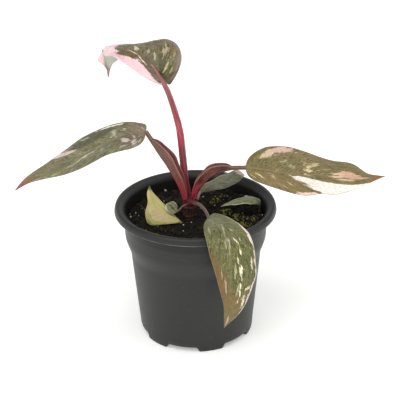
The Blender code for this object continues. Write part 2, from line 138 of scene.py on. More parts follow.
# Pot: injection-moulded polypropylene, thin and satin black. It tapers to six feet,
# swells softly to a collar and ends in a hollow lip that flares downward.
wall = 0.95
notch = 3.1
floor_top = notch + 1.1
foot_count = 6
foot_step = 360.0 / foot_count
foot_edge = 3.0
foot_sweep = 24.0
foot_width = 3.0
base_radius = 38.3
collar_radius = 43.6
collar_swell = 3.8
collar_base = 57.0
collar_height = 16.0
drain_radius = 3.5
drain_circle = 27.0
drill_middle = 3.7
drill_length = 3.4
spread = np.linspace(0.0, 1.0, 15)
bulge = 3 * spread**2 - 2 * spread**3
outside = np.stack([collar_radius + collar_swell * bulge, collar_base + collar_height * spread], -1)
inside = (outside - np.array([wall, 0.0]))[::-1]
# Section of the lip: up the collar, out under the flare to its edge, and back over the top.
lip = [(47.9, 88.0), (48.3, 91.2), (51.6, 91.6), (52.95, 88.75), (53.3, 88.55), (53.7, 88.55),
       (53.95, 88.75), (54.0, 89.2), (53.85, 90.3), (53.5, 91.6), (53.1, 92.4), (52.5, 92.85),
       (51.6, 93.0), (50.7, 93.0), (50.1, 92.75), (47.3, 90.2), (46.95, 88.0)]
profile = [(38.95, 7.0), (39.3, 11.0), (40.0, 18.0), (41.5, 34.0), (42.9, 49.0), *outside.tolist(), *lip,
           *inside.tolist(), (41.6, 47.0), (39.0, 18.0), (base_radius + 0.4 - wall, floor_top + 1.6),
           (base_radius - wall, floor_top + 0.4), (base_radius - 0.9 - wall, floor_top), (14.0, floor_top),
           (0.0, floor_top)]


def surface(name, grids, materials, node=None):
    """One mesh object from several grids of points in millimetres.

    Each grid is (points, wrap, uv, slot): rows by columns of points, whether the last
    column joins the first, rows by columns of (u, v) or None, and the material slot.
    """
    points = []
    uvs = []
    quads = []
    slots = []
    start = 0
    for grid, wrap, uv, slot in grids:
        rows, columns = grid.shape[:2]
        index = start + np.arange(rows * columns).reshape(rows, columns)
        if wrap:
            index = np.concatenate([index, index[:, :1]], axis=1)
        quad = np.stack([index[:-1, :-1], index[:-1, 1:], index[1:, 1:], index[1:, :-1]], -1)
        quads.append(quad.reshape(-1, 4))
        slots.append(np.full(quad.shape[0] * quad.shape[1], slot, np.int32))
        points.append(grid.reshape(-1, 3))
        uvs.append(np.zeros((rows * columns, 2)) if uv is None else uv.reshape(-1, 2))
        start += rows * columns
    points = np.concatenate(points) * 0.001
    quads = np.concatenate(quads)
    mesh = bpy.data.meshes.new(name)
    mesh.vertices.add(len(points))
    mesh.vertices.foreach_set("co", points.astype(np.float32).ravel())
    mesh.loops.add(quads.size)
    mesh.loops.foreach_set("vertex_index", quads.astype(np.int32).ravel())
    mesh.polygons.add(len(quads))
    mesh.polygons.foreach_set("loop_start", np.arange(0, quads.size, 4, dtype=np.int32))
    mesh.polygons.foreach_set("material_index", np.concatenate(slots))
    mesh.polygons.foreach_set("use_smooth", np.ones(len(quads), bool))
    layer = mesh.uv_layers.new(name="surface")
    layer.data.foreach_set("uv", np.concatenate(uvs)[quads.ravel()].astype(np.float32).ravel())
    mesh.update(calc_edges=True)
    mesh.validate()
    for material in materials:
        mesh.materials.append(material)
    piece = bpy.data.objects.new(name, mesh)
    scene.collection.objects.link(piece)
    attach(piece, "root")
    if node:
        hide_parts(node)
    return piece


def moulded_pot():
    """Points of the pot's skin, from the middle of the underside round to the inner floor.

    The lower edge stands at notch * arch over the floor: arch is 0 under a foot, over
    foot_sweep of each foot_step, and 1 in a notch, and smooths over 4 degrees between them.
    Under a foot this draws the edge and its inner side down to the floor.
    """
    degrees = np.arange(0.0, 360.0, 1.0)
    angle = np.radians(degrees)
    past_foot = (degrees - foot_edge - foot_sweep / 2 + foot_step / 2) % foot_step - foot_step / 2
    arch = np.clip((np.abs(past_foot) - foot_sweep / 2 + 0.5) / 4.0, 0.0, 1.0)
    edge = notch * (3 * arch**2 - 2 * arch**3)
    whole = np.zeros(len(degrees))
    rows = [(0.0, whole + notch), (20.0, whole + notch), (base_radius - foot_width - 0.2, whole + notch),
            (base_radius - foot_width, edge + 0.35), (base_radius - foot_width + 0.5, edge),
            (base_radius - 1.0, edge), (base_radius - 0.25, edge + 0.2), (base_radius + 0.1, edge + 0.7),
            (base_radius + 0.35, 0.6 * edge + 2.2)]
    rows += [(radius, whole + height) for radius, height in profile]
    return np.stack([np.stack([r * np.sin(angle), -r * np.cos(angle), z], -1) for r, z in rows])


def mix(add, factor, first, second):
    """Colour that goes from first to second with the factor."""
    return add("Mix", {0: factor, 6: first, 7: second}, data_type="RGBA").outputs[2]


def step(add, value, low, high):
    """Smooth step of a value from 0 at low to 1 at high; low may be the larger."""
    flip = low > high
    inputs = {"Value": value, "From Min": min(low, high), "From Max": max(low, high),
              "To Min": 1.0 if flip else 0.0, "To Max": 0.0 if flip else 1.0}
    return add("MapRange", inputs, interpolation_type="SMOOTHSTEP").outputs["Result"]


def times(add, first, second):
    """Product of two values."""
    return add("Math", {0: first, 1: second}, operation="MULTIPLY").outputs[0]


def noise(add, vector, cell, detail=3.0, rough=0.55):
    """Grey noise whose coarsest cells are that wide in the vector's unit."""
    inputs = {"Vector": vector, "Scale": 1.0 / cell, "Detail": detail, "Roughness": rough}
    return add("TexNoise", inputs).outputs["Fac"]


def stretch(add, vector, factors):
    """The vector with each of its parts times a factor."""
    return add("VectorMath", {0: vector, 1: factors}, operation="MULTIPLY").outputs[0]


def object_millimetres(add):
    """The piece's own object coordinates, in millimetres."""
    return stretch(add, add("TexCoord").outputs["Object"], (1000.0, 1000.0, 1000.0))


def paint(shader, colour):
    """Gives the shader its colour."""
    shader.id_data.links.new(colour, shader.inputs["Base Color"])


def relief(add, shader, height, depth):
    """Bump of a height pattern that is so many millimetres deep."""
    bump = add("Bump", {"Height": height, "Distance": depth * 0.001})
    shader.id_data.links.new(bump.outputs["Normal"], shader.inputs["Normal"])


# Moulded polypropylene: broad soft highlights, a fine grain and faint scuffs round it. The
# lip's lower edge is painted pale, partly rubbed wear and partly a painted highlight on its
# rounded edge, and the wall is painted darker from the mix upward: painted shade.
plastic, shader, add = finish_of("satin_black_polypropylene", 0.45, 0.4)
place = object_millimetres(add)
cloud = noise(add, place, 35.7)
scuff = step(add, noise(add, stretch(add, place, (1.0, 1.0, 6.0)), 6.25, 4.0), 0.62, 0.74)
colour = mix(add, cloud, linear("1c1d1a"), linear("252622"))
colour = mix(add, times(add, scuff, 0.35), colour, linear("4a4a46"))
level_place = stretch(add, place, (1.0, 1.0, 0.0))
radius = add("VectorMath", {0: level_place}, operation="LENGTH").outputs["Value"]
height = add("SeparateXYZ", {0: place}).outputs["Z"]
# Painted highlight, partly rubbed wear: the lip's rounded lower edge is lightened.
rubbed_and_highlit_edge = times(add, times(add, step(add, radius, 52.9, 53.2), step(add, height, 89.1, 88.7)),
               step(add, noise(add, place, 11.1, 4.0), 0.35, 0.6))
colour = mix(add, rubbed_and_highlit_edge, colour, linear("8c8c86"))
# Painted shade: the inner wall and lip above the mix are darkened, where little light falls.
painted_inner_shade = times(add, step(add, radius, 51.2, 50.0), step(add, height, 79.5, 80.5))
colour = mix(add, times(add, painted_inner_shade, 0.8), colour, linear("0c0b09"))
paint(shader, colour)
satin = add("MapRange", {"Value": cloud, "To Min": 0.4, "To Max": 0.52}).outputs["Result"]
shader.id_data.links.new(satin, shader.inputs["Roughness"])
relief(add, shader, noise(add, place, 0.714, 2.0), 0.04)
pot = surface("pot_shell", [(moulded_pot(), True, None, 0)], [plastic], "pot")
shell = bmesh.new()
shell.from_mesh(pot.data)
bmesh.ops.remove_doubles(shell, verts=shell.verts, dist=1e-6)
bmesh.ops.recalc_face_normals(shell, faces=shell.faces)
shell.to_mesh(pot.data)
shell.free()
# Drains: one plain hole behind each notch, drilled in the mesh.
bores = bmesh.new()
for k in range(foot_count):
    turn = math.radians(foot_edge + foot_sweep / 2 + foot_step * (k + 0.5))
    centre = Vector((drain_circle * math.sin(turn), -drain_circle * math.cos(turn), drill_middle)) * 0.001
    bmesh.ops.create_cone(bores, cap_ends=True, segments=40, radius1=drain_radius * 0.001,
                          radius2=drain_radius * 0.001, depth=drill_length * 0.001,
                          matrix=Matrix.Translation(centre))
drill = bpy.data.objects.new("drain_drill", bpy.data.meshes.new("drain_drill"))
bores.to_mesh(drill.data)
bores.free()
scene.collection.objects.link(drill)
drains = pot.modifiers.new("drains", "BOOLEAN")
drains.operation = "DIFFERENCE"
drains.solver = "EXACT"
drains.object = drill
drilled = bpy.data.meshes.new_from_object(pot.evaluated_get(bpy.context.evaluated_depsgraph_get()))
pot.modifiers.clear()
pot.data = drilled
bpy.data.objects.remove(drill)

# Potting mix: damp peat and bark, almost black, heaped a little against the stem. It
# fills the pot to eleven millimetres under the rim.
soil_top = 82.0
soil_radius = 46.0
spokes = 360


def unit(v):
    """Vectors of an array scaled to length one."""
    return v / np.maximum(np.linalg.norm(v, axis=-1, keepdims=True), 1e-9)


def swell(points, pitch, seed):
    """Smooth random field of unit spread: a sum of sine waves in random directions.

    Each wave's length is the pitch in millimetres times a draw from 0.7 to 1.6.
    """
    waves = 24
    draw = np.random.default_rng(seed)
    direction = unit(draw.normal(size=(waves, 3)))
    length = pitch * draw.uniform(0.7, 1.6, waves)
    phase = draw.uniform(0, 2 * math.pi, waves)
    angle = 2 * math.pi * (points @ direction.T) / length + phase
    return np.sin(angle).sum(-1) * math.sqrt(2.0 / waves)


def soil_height(x, y):
    """Height of the mix: level, 0.7 mm higher at the stem, with lumps of 9, 3.4 and 1.5 mm."""
    at = np.stack([x, y, np.zeros_like(x)], -1)
    lump = 0.45 * swell(at, 9.0, 5) + 0.3 * swell(at, 3.4, 6) + 0.16 * swell(at, 1.5, 7)
    mound = 0.7 * np.exp(-((x + 3) ** 2 + y**2) / 200.0)
    return soil_top - 0.2 + mound + np.clip(lump, -1.5, 0.9)


radii = np.concatenate([[0.05], np.linspace(0.5, soil_radius, 130)])
angle = np.arange(spokes) * 2 * math.pi / spokes
x = radii[:, None] * np.sin(angle)
y = radii[:, None] * np.cos(angle)
top = np.stack([x, y, soil_height(x, y)], -1)
# The plug's side, down past the collar to the pot's floor.
sides = [(46.1, 80.0), (45.9, 70.5), (42.6, 62.5), (37.3, 4.7), (0.1, 4.6)]
skirt = np.stack([np.stack([r * np.sin(angle), r * np.cos(angle), np.full(spokes, z)], -1) for r, z in sides])
# Damp peat: matt and almost black, with brown specks and a green tinge of algae.
peat, shader, add = finish_of("damp_peat_and_bark", 0.93, 0.25)
place = object_millimetres(add)
colour = mix(add, step(add, noise(add, place, 5.56, 5.0), 0.35, 0.7), linear("070504"), linear("1c150e"))
colour = mix(add, step(add, noise(add, place, 1.11, 2.0), 0.62, 0.72), colour, linear("3c3225"))
colour = mix(add, step(add, noise(add, place, 16.7, 3.0), 0.58, 0.75), colour, linear("2c2812"))
paint(shader, colour)
relief(add, shader, noise(add, place, 1.43, 6.0, 0.7), 0.8)
surface("potting_mix", [(np.concatenate([top, skirt]), True, None, 0)], [peat], "soil")

# Crumbs: loose bits of the same damp peat, mostly about a millimetre across. They lie all
# over the mix, as watering has left them.


def lumps(name, centres, sizes, squash, seed, material, rings=5, sides=8, rough=0.28):
    """Many small rough stones in one mesh: squashed spheres with dents.

    Each is a sphere of rings by sides, its radius times 1 + 0.6 * rough * a normal draw
    cut off at 1.5, scaled by its squash, turned at random (by the turn formula
    v cos a + k x v sin a + k (k . v) (1 - cos a)), and scaled by its size.
    """
    draw = np.random.default_rng(seed)
    count = len(centres)
    polar = np.linspace(0.12, math.pi - 0.12, rings)
    turn = np.arange(sides) * 2 * math.pi / sides
    ball = np.stack([np.sin(polar)[:, None] * np.cos(turn), np.sin(polar)[:, None] * np.sin(turn),
                     np.cos(polar)[:, None] * np.ones(sides)], -1)
    ball = ball[None] * (1 + rough * draw.normal(size=(count, rings, sides, 1)).clip(-1.5, 1.5) * 0.6)
    ball = ball * np.asarray(squash)[None, None, None, :]
    axis = unit(draw.normal(size=(count, 3)))
    spin = draw.uniform(0, 2 * math.pi, count)
    c = np.cos(spin)[:, None, None, None]
    s = np.sin(spin)[:, None, None, None]
    k = axis[:, None, None, :]
    along_axis = k * (ball * k).sum(-1, keepdims=True)
    ball = ball * c + np.cross(np.broadcast_to(k, ball.shape), ball) * s + along_axis * (1 - c)
    ball = ball * np.asarray(sizes)[:, None, None, None] + np.asarray(centres)[:, None, None, :]
    row = np.arange(rings * sides).reshape(rings, sides)
    wrap = np.concatenate([row, row[:, :1]], axis=1)
    quad = np.stack([wrap[:-1, :-1], wrap[1:, :-1], wrap[1:, 1:], wrap[:-1, 1:]], -1).reshape(-1, 4)
    first = (np.arange(count) * rings * sides)[:, None]
    faces = (quad[None] + first[..., None]).reshape(-1, 4)
    caps = np.concatenate([row[0] + first, row[-1][::-1] + first])
    mesh = bpy.data.meshes.new(name)
    mesh.from_pydata((ball.reshape(-1, 3) * 0.001).tolist(), [], faces.tolist() + caps.tolist())
    mesh.polygons.foreach_set("use_smooth", np.ones(len(mesh.polygons), bool))
    mesh.materials.append(material)
    piece = bpy.data.objects.new(name, mesh)
    scene.collection.objects.link(piece)
    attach(piece, "root")


def scatter(count, seed, inner=6.0, outer=45.3):
    """Random places on the mix, even by area, away from the stem."""
    draw = np.random.default_rng(seed)
    r = np.sqrt(draw.uniform(inner**2, outer**2, count))
    a = draw.uniform(0, 2 * math.pi, count)
    return r * np.sin(a), r * np.cos(a), draw


def on_mix(x, y, above):
    """Points at places on the mix, so far above its surface."""
    return np.stack([x, y, soil_height(x, y) + above], -1)


crumb_count = 1500
x, y, draw = scatter(crumb_count, 11)
size = draw.uniform(0.35, 1.15, len(x)) * draw.uniform(0.5, 1.0, len(x))
lumps("peat_crumbs", on_mix(x, y, 0.15 * size), size, (1.0, 0.8, 0.6), 12, peat)

# Bark chips: flat splinters of composted bark that came up to the surface of the mix.
# They lie loose on it, flat or on edge.
chip_count = 170
# Composted bark: dark and matt, with short streaks of paler wood.
bark, shader, add = finish_of("composted_bark_chips", 0.85, 0.3)
streak = stretch(add, object_millimetres(add), (1.0, 4.0, 1.0))
paint(shader, mix(add, noise(add, streak, 3.33, 4.0), linear("0d0906"), linear("3c2f20")))
relief(add, shader, noise(add, streak, 1.11, 4.0), 0.3)
x, y, draw = scatter(chip_count, 13)
size = draw.uniform(0.9, 2.3, len(x))
lumps("bark_chips", on_mix(x, y, 0.2), size, (1.3, 0.55, 0.3), 14, bark, 5, 8, 0.3)

# Perlite: white beads of expanded volcanic glass, mixed in to keep the peat open. The
# larger ones lie where they show, and small ones are scattered.
bead_count = 24
large_beads = np.array([(-21, 41, 0.9), (-22, 25, 0.8), (-3, -8, 0.7), (32, 33, 0.9), (-43.5, 2, 0.7),
                        (35, 28, 1.5), (-8, -21, 0.5), (13, 17, 0.6), (4, -30, 0.5)])
# Expanded perlite: dull white and porous, a little soiled.
perlite, shader, add = finish_of("expanded_perlite", 0.8, 0.4)
place = object_millimetres(add)
paint(shader, mix(add, noise(add, place, 1.11), linear("8a8678"), linear("d8d6cc")))
relief(add, shader, noise(add, place, 0.667), 0.3)
x, y, draw = scatter(bead_count, 15, 12.0)
size = np.concatenate([large_beads[:, 2], draw.uniform(0.2, 0.55, len(x))])
x = np.concatenate([large_beads[:, 0], x])
y = np.concatenate([large_beads[:, 1], y])
lumps("perlite_beads", on_mix(x, y, 0.35 * size), size, (1.0, 0.9, 0.85), 16, perlite, 9, 14, 0.12)

# Moss: small tufts and algae that have grown on the damp mix since it was potted. They
# stand in patches, most of them at the right and the front left.
tuft_count = 330
patches = np.array([(-35, -24), (-30, -28), (-24, -33), (30, -4), (20, 9), (26, 2), (34, -12), (38, -2),
                    (24, -14), (12, 24), (18, 30), (-32, 12)], float)
# Moss: matt yellow-green, mottled with a darker green.
moss, shader, add = finish_of("moss_and_algae", 0.9, 0.2)
place = object_millimetres(add)
paint(shader, mix(add, noise(add, place, 2.0), linear("3a3c16"), linear("969645")))
relief(add, shader, noise(add, place, 0.556), 0.3)
draw = np.random.default_rng(17)
spot = patches[draw.integers(0, len(patches), tuft_count)] + draw.normal(0.0, 2.6, (tuft_count, 2))
spot = spot[np.hypot(spot[:, 0], spot[:, 1]) < 45.0]
size = draw.uniform(0.25, 0.75, len(spot))
x, y = spot.T
lumps("moss_tufts", on_mix(x, y, 0.5 * size), size, (1.0, 0.7, 0.8), 18, moss)

# Twigs: thin bits of wood and root from the peat, with the finish of the bark chips.
# They lie loose on the mix.
twig_count = 26
x, y, draw = scatter(twig_count, 19, 9.0, 43.0)
size = draw.uniform(0.5, 1.1, len(x))
lumps("peat_twigs", on_mix(x, y, 0.5), size, (0.35, 0.35, 3.4), 20, bark, 7, 8, 0.12)

# Stem: a short woody stump with brown-red corky bark, ringed by two old leaf scars.
# A swollen bud scar at its front right carries the front leaf.


def curve(points, shares):
    """Smooth curve through the points at the given shares of its length.

    A cubic Hermite with chord-length parameters, resampled by arc length.
    """
    p = np.array(points, float)
    chord = np.linalg.norm(np.diff(p, axis=0), axis=1)
    knot = np.concatenate([[0.0], np.cumsum(chord)])
    slope = np.gradient(p, knot, axis=0)
    dense = np.linspace(0.0, knot[-1], 200 * len(p))
    i = np.clip(np.searchsorted(knot, dense, side="right") - 1, 0, len(p) - 2)
    h = chord[i][:, None]
    u = ((dense - knot[i]) / chord[i])[:, None]
    line = ((2 * u**3 - 3 * u**2 + 1) * p[i] + (u**3 - 2 * u**2 + u) * h * slope[i]
            + (3 * u**2 - 2 * u**3) * p[i + 1] + (u**3 - u**2) * h * slope[i + 1])
    length = np.concatenate([[0.0], np.cumsum(np.linalg.norm(np.diff(line, axis=0), axis=1))])
    at = np.asarray(shares) * length[-1]
    return np.stack([np.interp(at, length, line[:, axis]) for axis in range(3)], axis=1)


def frames(line, level):
    """Tangent, side and upper direction at each point of a line, upper held level."""
    tangent = unit(np.gradient(line, axis=0))
    side = unit(np.cross(tangent, np.array(level, float)))
    return tangent, side, np.cross(side, tangent)


# Corky bark: dull brown with upright fibres, and crimson just under the petioles.
bark_skin, shader, add = finish_of("corky_stem_bark", 0.7, 0.35)
place = object_millimetres(add)
fibre = stretch(add, place, (5.0, 5.0, 1.0))
colour = mix(add, step(add, noise(add, fibre, 8.33, 5.0), 0.35, 0.7), linear("1c110c"), linear("4c2c20"))
colour = mix(add, step(add, noise(add, fibre, 3.33), 0.6, 0.72), colour, linear("7a6454"))
height = add("SeparateXYZ", {0: place}).outputs["Z"]
colour = mix(add, times(add, step(add, height, 88.0, 96.5), 0.85), colour, linear("5e1f24"))
paint(shader, colour)
relief(add, shader, noise(add, fibre, 3.85, 5.0), 0.6)
share = np.linspace(0, 1, 150)
line = curve([(-3.0, 0.0, 66.0), (-3.1, 0.0, 78.0), (-3.6, 0.1, 88.0), (-4.0, 0.2, 96.6)], share)
radius = np.interp(share, np.linspace(0, 1, 4), [4.0, 4.6, 4.5, 4.6])
for scar in (84.5, 90.5):
    over = line[:, 2] - scar
    radius = radius + 0.35 * np.exp(-(over**2)) - 0.2 * np.exp(-(((over - 1.4) / 0.5) ** 2))
side, upper = frames(line, (0.0, 1.0, 0.0))[1:]
angle = np.arange(72) * 2 * math.pi / 72
out = np.cos(angle)[None, :, None] * side[:, None] + np.sin(angle)[None, :, None] * upper[:, None]
tube = line[:, None] + radius[:, None, None] * out
facing = unit(np.array([2.8, -4.2, 0.0]))
knob = 1.3 * np.clip((out * facing).sum(-1), 0, 1) ** 6 * np.exp(-((line[:, None, 2] - 94.6) / 1.9) ** 2)
stretched = tube * np.array([1.0, 1.0, 0.3])
rough_bark = 0.16 * swell(stretched, 2.2, 21) + 0.07 * swell(stretched, 0.9, 22)
tube = tube + out * (knob + rough_bark)[..., None]
dome = []
for k in range(1, 9):
    a = k / 8 * math.pi / 2
    flat = (tube[-1] - line[-1]) * math.cos(a) * 0.999
    dome.append(line[-1] + flat + np.array([0, 0, 0.9 * math.sin(a)]))
tube = np.concatenate([tube, np.array(dome)])
surface("stem_bark", [(tube, True, None, 0)], [bark_skin], "stem")

# Aerial root: one short brown root with the stem's corky skin. It grows out of the stump's
# front and runs down into the mix.


def round_stalk(name, node, points, radii, material, rings=120, sides=40, depth=0.035,
                level=(0.0, 0.35, 1.0), seed=0):
    """Tapering stalk: a tube whose radius swings by depth over its seven lengthwise ribs.

    The radius is the profile's, times 1 + depth * cos(7 * angle + 3 * share), plus
    unevenness of 0.04 mm. Both ends close over in a small dome.
    """
    share = np.linspace(0, 1, rings)
    line = curve(points, share)
    radius = np.interp(share, np.linspace(0, 1, len(radii)), radii)
    tangent, side, upper = frames(line, level)
    angle = np.arange(sides) * 2 * math.pi / sides
    out = np.cos(angle)[None, :, None] * side[:, None] + np.sin(angle)[None, :, None] * upper[:, None]
    swing = 1 + depth * np.cos(7 * angle[None, :] + 3 * share[:, None])
    tube = line[:, None] + out * (radius[:, None] * swing)[..., None]
    tube = tube + out * (0.04 * swell(tube * np.array([1.0, 1.0, 0.5]), 3.0, seed))[..., None]
    uv = np.stack(np.broadcast_arrays((angle / (2 * math.pi))[None, :], share[:, None]), -1)
    caps = []
    for end, direction in ((0, -tangent[0]), (-1, tangent[-1])):
        bulge = direction * 0.45 * radius[end]
        cap = [line[end] + (tube[end] - line[end]) * math.cos(a) + bulge * math.sin(a)
               for a in np.linspace(0.0, math.pi / 2 - 0.02, 6)[1:]]
        caps.append(np.array(cap))
    tube = np.concatenate([caps[0][::-1], tube, caps[1]])
    uv = np.concatenate([np.repeat(uv[:1], 5, 0), uv, np.repeat(uv[-1:], 5, 0)])
    surface(name, [(tube, True, uv, 0)], [material], node)


round_stalk("aerial_root", None,
            [(-1.3, -4.3, 92.0), (-1.2, -5.1, 90.2), (-1.3, -5.4, 86.4), (-1.7, -5.6, 81.4)],
            [0.5, 0.55, 0.45, 0.35], bark_skin, rings=50, sides=16, depth=0.06,
            level=(0.0, 1.0, 0.2), seed=38)

# Highest leaf: a crimson petiole rises behind the others and its blade turns left and
# away. Half of the blade has no green at all, and the tip rolls down.


def petiole_skin(name, base, middle, top, dark, rough=0.34, lines=9.0, pale="c98a8c", rims=()):
    """Waxy petiole: colour runs from base to top, with dark and pale lines lengthwise.

    A line is 1 / (4 * lines) of the way round and a fifth of the length, and a speck
    1 / 60 round and 1 / 160 long. rims are the shares round the section where the
    sheath's edges lie, which are pale.
    """
    material, shader, add = finish_of(name, rough, 0.5)
    uv = add("UVMap", uv_map="surface").outputs["UV"]
    parts = add("SeparateXYZ", {0: uv})
    around = parts.outputs["X"]
    along = parts.outputs["Y"]
    colour = mix(add, step(add, along, 0.0, 0.45), linear(base), linear(middle))
    colour = mix(add, step(add, along, 0.45, 1.0), colour, linear(top))
    thread = stretch(add, uv, (lines * 4, 5.0, 1.0))
    strands = noise(add, thread, 1.0, 4.0)
    colour = mix(add, times(add, step(add, strands, 0.48, 0.62), 0.8), colour, linear(dark))
    colour = mix(add, times(add, step(add, strands, 0.4, 0.28), 0.6), colour, linear(pale))
    specks = step(add, noise(add, stretch(add, uv, (60.0, 160.0, 1.0)), 1.0, 2.0), 0.62, 0.72)
    colour = mix(add, times(add, specks, 0.4), colour, linear("d8b0a8"))
    for share in rims:
        away = add("Math", {0: around, 1: share}, operation="SUBTRACT").outputs[0]
        away = add("Math", {0: away}, operation="ABSOLUTE").outputs[0]
        colour = mix(add, times(add, step(add, away, 0.03, 0.008), 0.7), colour, linear(pale))
    paint(shader, colour)
    relief(add, shader, noise(add, thread, 0.5), 0.2)
    return material


def leaf_skin(name, size, tones, marks=(), sectors=(), seed=1.0, flecks=0.66, rib="9a9468",
              edge="a08a70", rib_width=0.9, veins=9.0, tip=(), lean=34.0, mottle=0.35):
    """Marbled leaf skin on the blade's own coordinates: satin, with a faint waxy bloom.

    u runs from -1 at the left margin over 0 on the midrib to 1, and v from base to
    tip; size is the blade's length and half width in millimetres. Markings follow the
    side veins: their noise cells are about 1 by 5 mm, lie at the lean in degrees from
    the midrib and are mirrored on the two halves. tones are the ground, its second tone,
    its shade, the specks and the flecks. A sector is (colour, planes): it fills the
    side a*u + b*v + c > 0 of every plane (a, b, c). A mark is (u0, v0, u1, v1, width,
    colour, strength): a spot along that line. Both have edges torn by the noise, and
    the marks' edges also fray into fibres of 0.7 by 4 mm. tip lists (colour, from v,
    to v) of the point. mottle is how much dark fibres and the finest grain show.
    """
    length, half_width = size
    ground, second, shade, speck, fleck = [linear(code) for code in tones]
    material, shader, add = finish_of(name, 0.42, 0.4)
    uv = add("UVMap", uv_map="surface").outputs["UV"]
    parts = add("SeparateXYZ", {0: uv})
    across = parts.outputs["X"]
    along = parts.outputs["Y"]
    side = add("Math", {0: across}, operation="ABSOLUTE").outputs[0]
    sign = add("Math", {0: across}, operation="SIGN").outputs[0]
    place = stretch(add, uv, (half_width, length, 1.0))
    apart = add("Math", {0: sign, 1: 31.0, 2: 7.7 * seed}, operation="MULTIPLY_ADD").outputs[0]
    folded = add("CombineXYZ", {"X": times(add, side, half_width), "Y": times(add, along, length),
                                "Z": apart}).outputs[0]

    def cells(wide, long):
        """Coordinates in cells that many millimetres wide and long, along the side veins."""
        return add("Mapping", {"Vector": folded, "Rotation": (0.0, 0.0, -math.radians(lean)),
                               "Scale": (wide, long, 1.0)}, vector_type="TEXTURE").outputs[0]

    coarse = noise(add, cells(1.1, 5.0), 1.0, 5.0, 0.65)
    fine = noise(add, cells(0.7, 4.0), 1.0, 3.0, 0.6)
    torn = add("Math", {0: coarse, 1: 0.5}, operation="SUBTRACT").outputs[0]
    fray = add("Math", {0: fine, 1: 0.5}, operation="SUBTRACT").outputs[0]
    push = add("VectorMath", {0: (3.0, 13.0, 0.0), "Scale": torn}, operation="SCALE").outputs[0]
    ragged = add("VectorMath", {0: place, 1: push}, operation="ADD").outputs[0]

    colour = mix(add, step(add, noise(add, folded, 14.3, 4.0, 0.6), 0.38, 0.62), ground, second)
    shaded = step(add, noise(add, cells(2.0, 12.0), 1.0, 5.0, 0.6), 0.45, 0.68)
    colour = mix(add, times(add, shaded, 0.6), colour, shade)
    dark_fibre = (*[0.55 * part for part in shade[:3]], 1.0)
    colour = mix(add, times(add, step(add, fray, 0.0, 0.13), min(1.0, 2.1 * mottle)), colour, dark_fibre)
    cluster = step(add, noise(add, folded, 8.33, 2.0), 0.38, 0.56)
    dots = step(add, noise(add, cells(0.7, 1.3), 1.0, 2.0, 0.5), 0.56, 0.66)
    colour = mix(add, times(add, times(add, dots, cluster), 0.7), colour, speck)
    streaks = step(add, noise(add, cells(0.8, 6.0), 1.0, 3.0, 0.5), flecks, flecks + 0.04)
    colour = mix(add, times(add, times(add, streaks, cluster), 0.8), colour, fleck)
    for tone, planes in sectors:
        inside = 1.0
        for a, b, c in planes:
            depth = add("VectorMath", {0: ragged, 1: (a / half_width, b / length, 0.0)},
                        operation="DOT_PRODUCT").outputs["Value"]
            inside = times(add, inside, step(add, depth, -c - 0.008, -c + 0.008))
        colour = mix(add, inside, colour, linear(tone))
    for u0, v0, u1, v1, width, tone, strength in marks:
        dx = (u1 - u0) * half_width
        dy = (v1 - v0) * length
        spot = {"Vector": ragged, "Location": ((u0 + u1) / 2 * half_width, (v0 + v1) / 2 * length, 0.0),
                "Rotation": (0.0, 0.0, -math.atan2(dx, dy)),
                "Scale": (width / 2, math.hypot(dx, dy) / 2 + width / 3, 1.0)}
        reach = add("VectorMath", {0: add("Mapping", spot, vector_type="TEXTURE").outputs[0]},
                    operation="LENGTH").outputs["Value"]
        reach = add("Math", {0: fray, 1: 1.6, 2: reach}, operation="MULTIPLY_ADD").outputs[0]
        colour = mix(add, times(add, step(add, reach, 1.12, 0.88), strength), colour, linear(tone))
    for tone, low, high in tip:
        colour = mix(add, step(add, along, low, high), colour, linear(tone))
    phase = add("Math", {0: along, 1: veins * 2}, operation="MULTIPLY").outputs[0]
    phase = add("Math", {0: phase, 1: 1.0}, operation="PINGPONG").outputs[0]
    line = times(add, step(add, phase, 0.1, 0.02), step(add, side, 1.0, 0.4))
    colour = mix(add, times(add, line, 0.12), colour, linear(rib))
    grain = step(add, noise(add, cells(0.7, 1.5), 1.0, 3.0, 0.6), 0.44, 0.62)
    darkened = {0: times(add, grain, mottle), 6: colour, 7: (0.5, 0.46, 0.38, 1.0)}
    colour = add("Mix", darkened, data_type="RGBA", blend_type="MULTIPLY").outputs[2]
    nerve = step(add, side, rib_width / half_width, 0.3 * rib_width / half_width)
    colour = mix(add, times(add, nerve, times(add, step(add, along, 1.0, 0.3), 0.6)), colour, linear(rib))
    colour = mix(add, times(add, step(add, side, 0.97, 0.99), 0.4), colour, linear(edge))
    paint(shader, colour)
    shader.inputs["Sheen Weight"].default_value = 0.12
    shader.inputs["Sheen Roughness"].default_value = 0.4
    shader.inputs["Sheen Tint"].default_value = linear("d8d2de")
    shader.inputs["Subsurface Weight"].default_value = 0.06
    shader.inputs["Subsurface Radius"].default_value = (0.002, 0.0015, 0.001)
    shader.inputs["Subsurface Scale"].default_value = 0.5
    pores = noise(add, place, 0.625)
    height = add("Math", {0: line, 1: -0.5, 2: pores}, operation="MULTIPLY_ADD").outputs[0]
    relief(add, shader, height, 0.18)
    return material


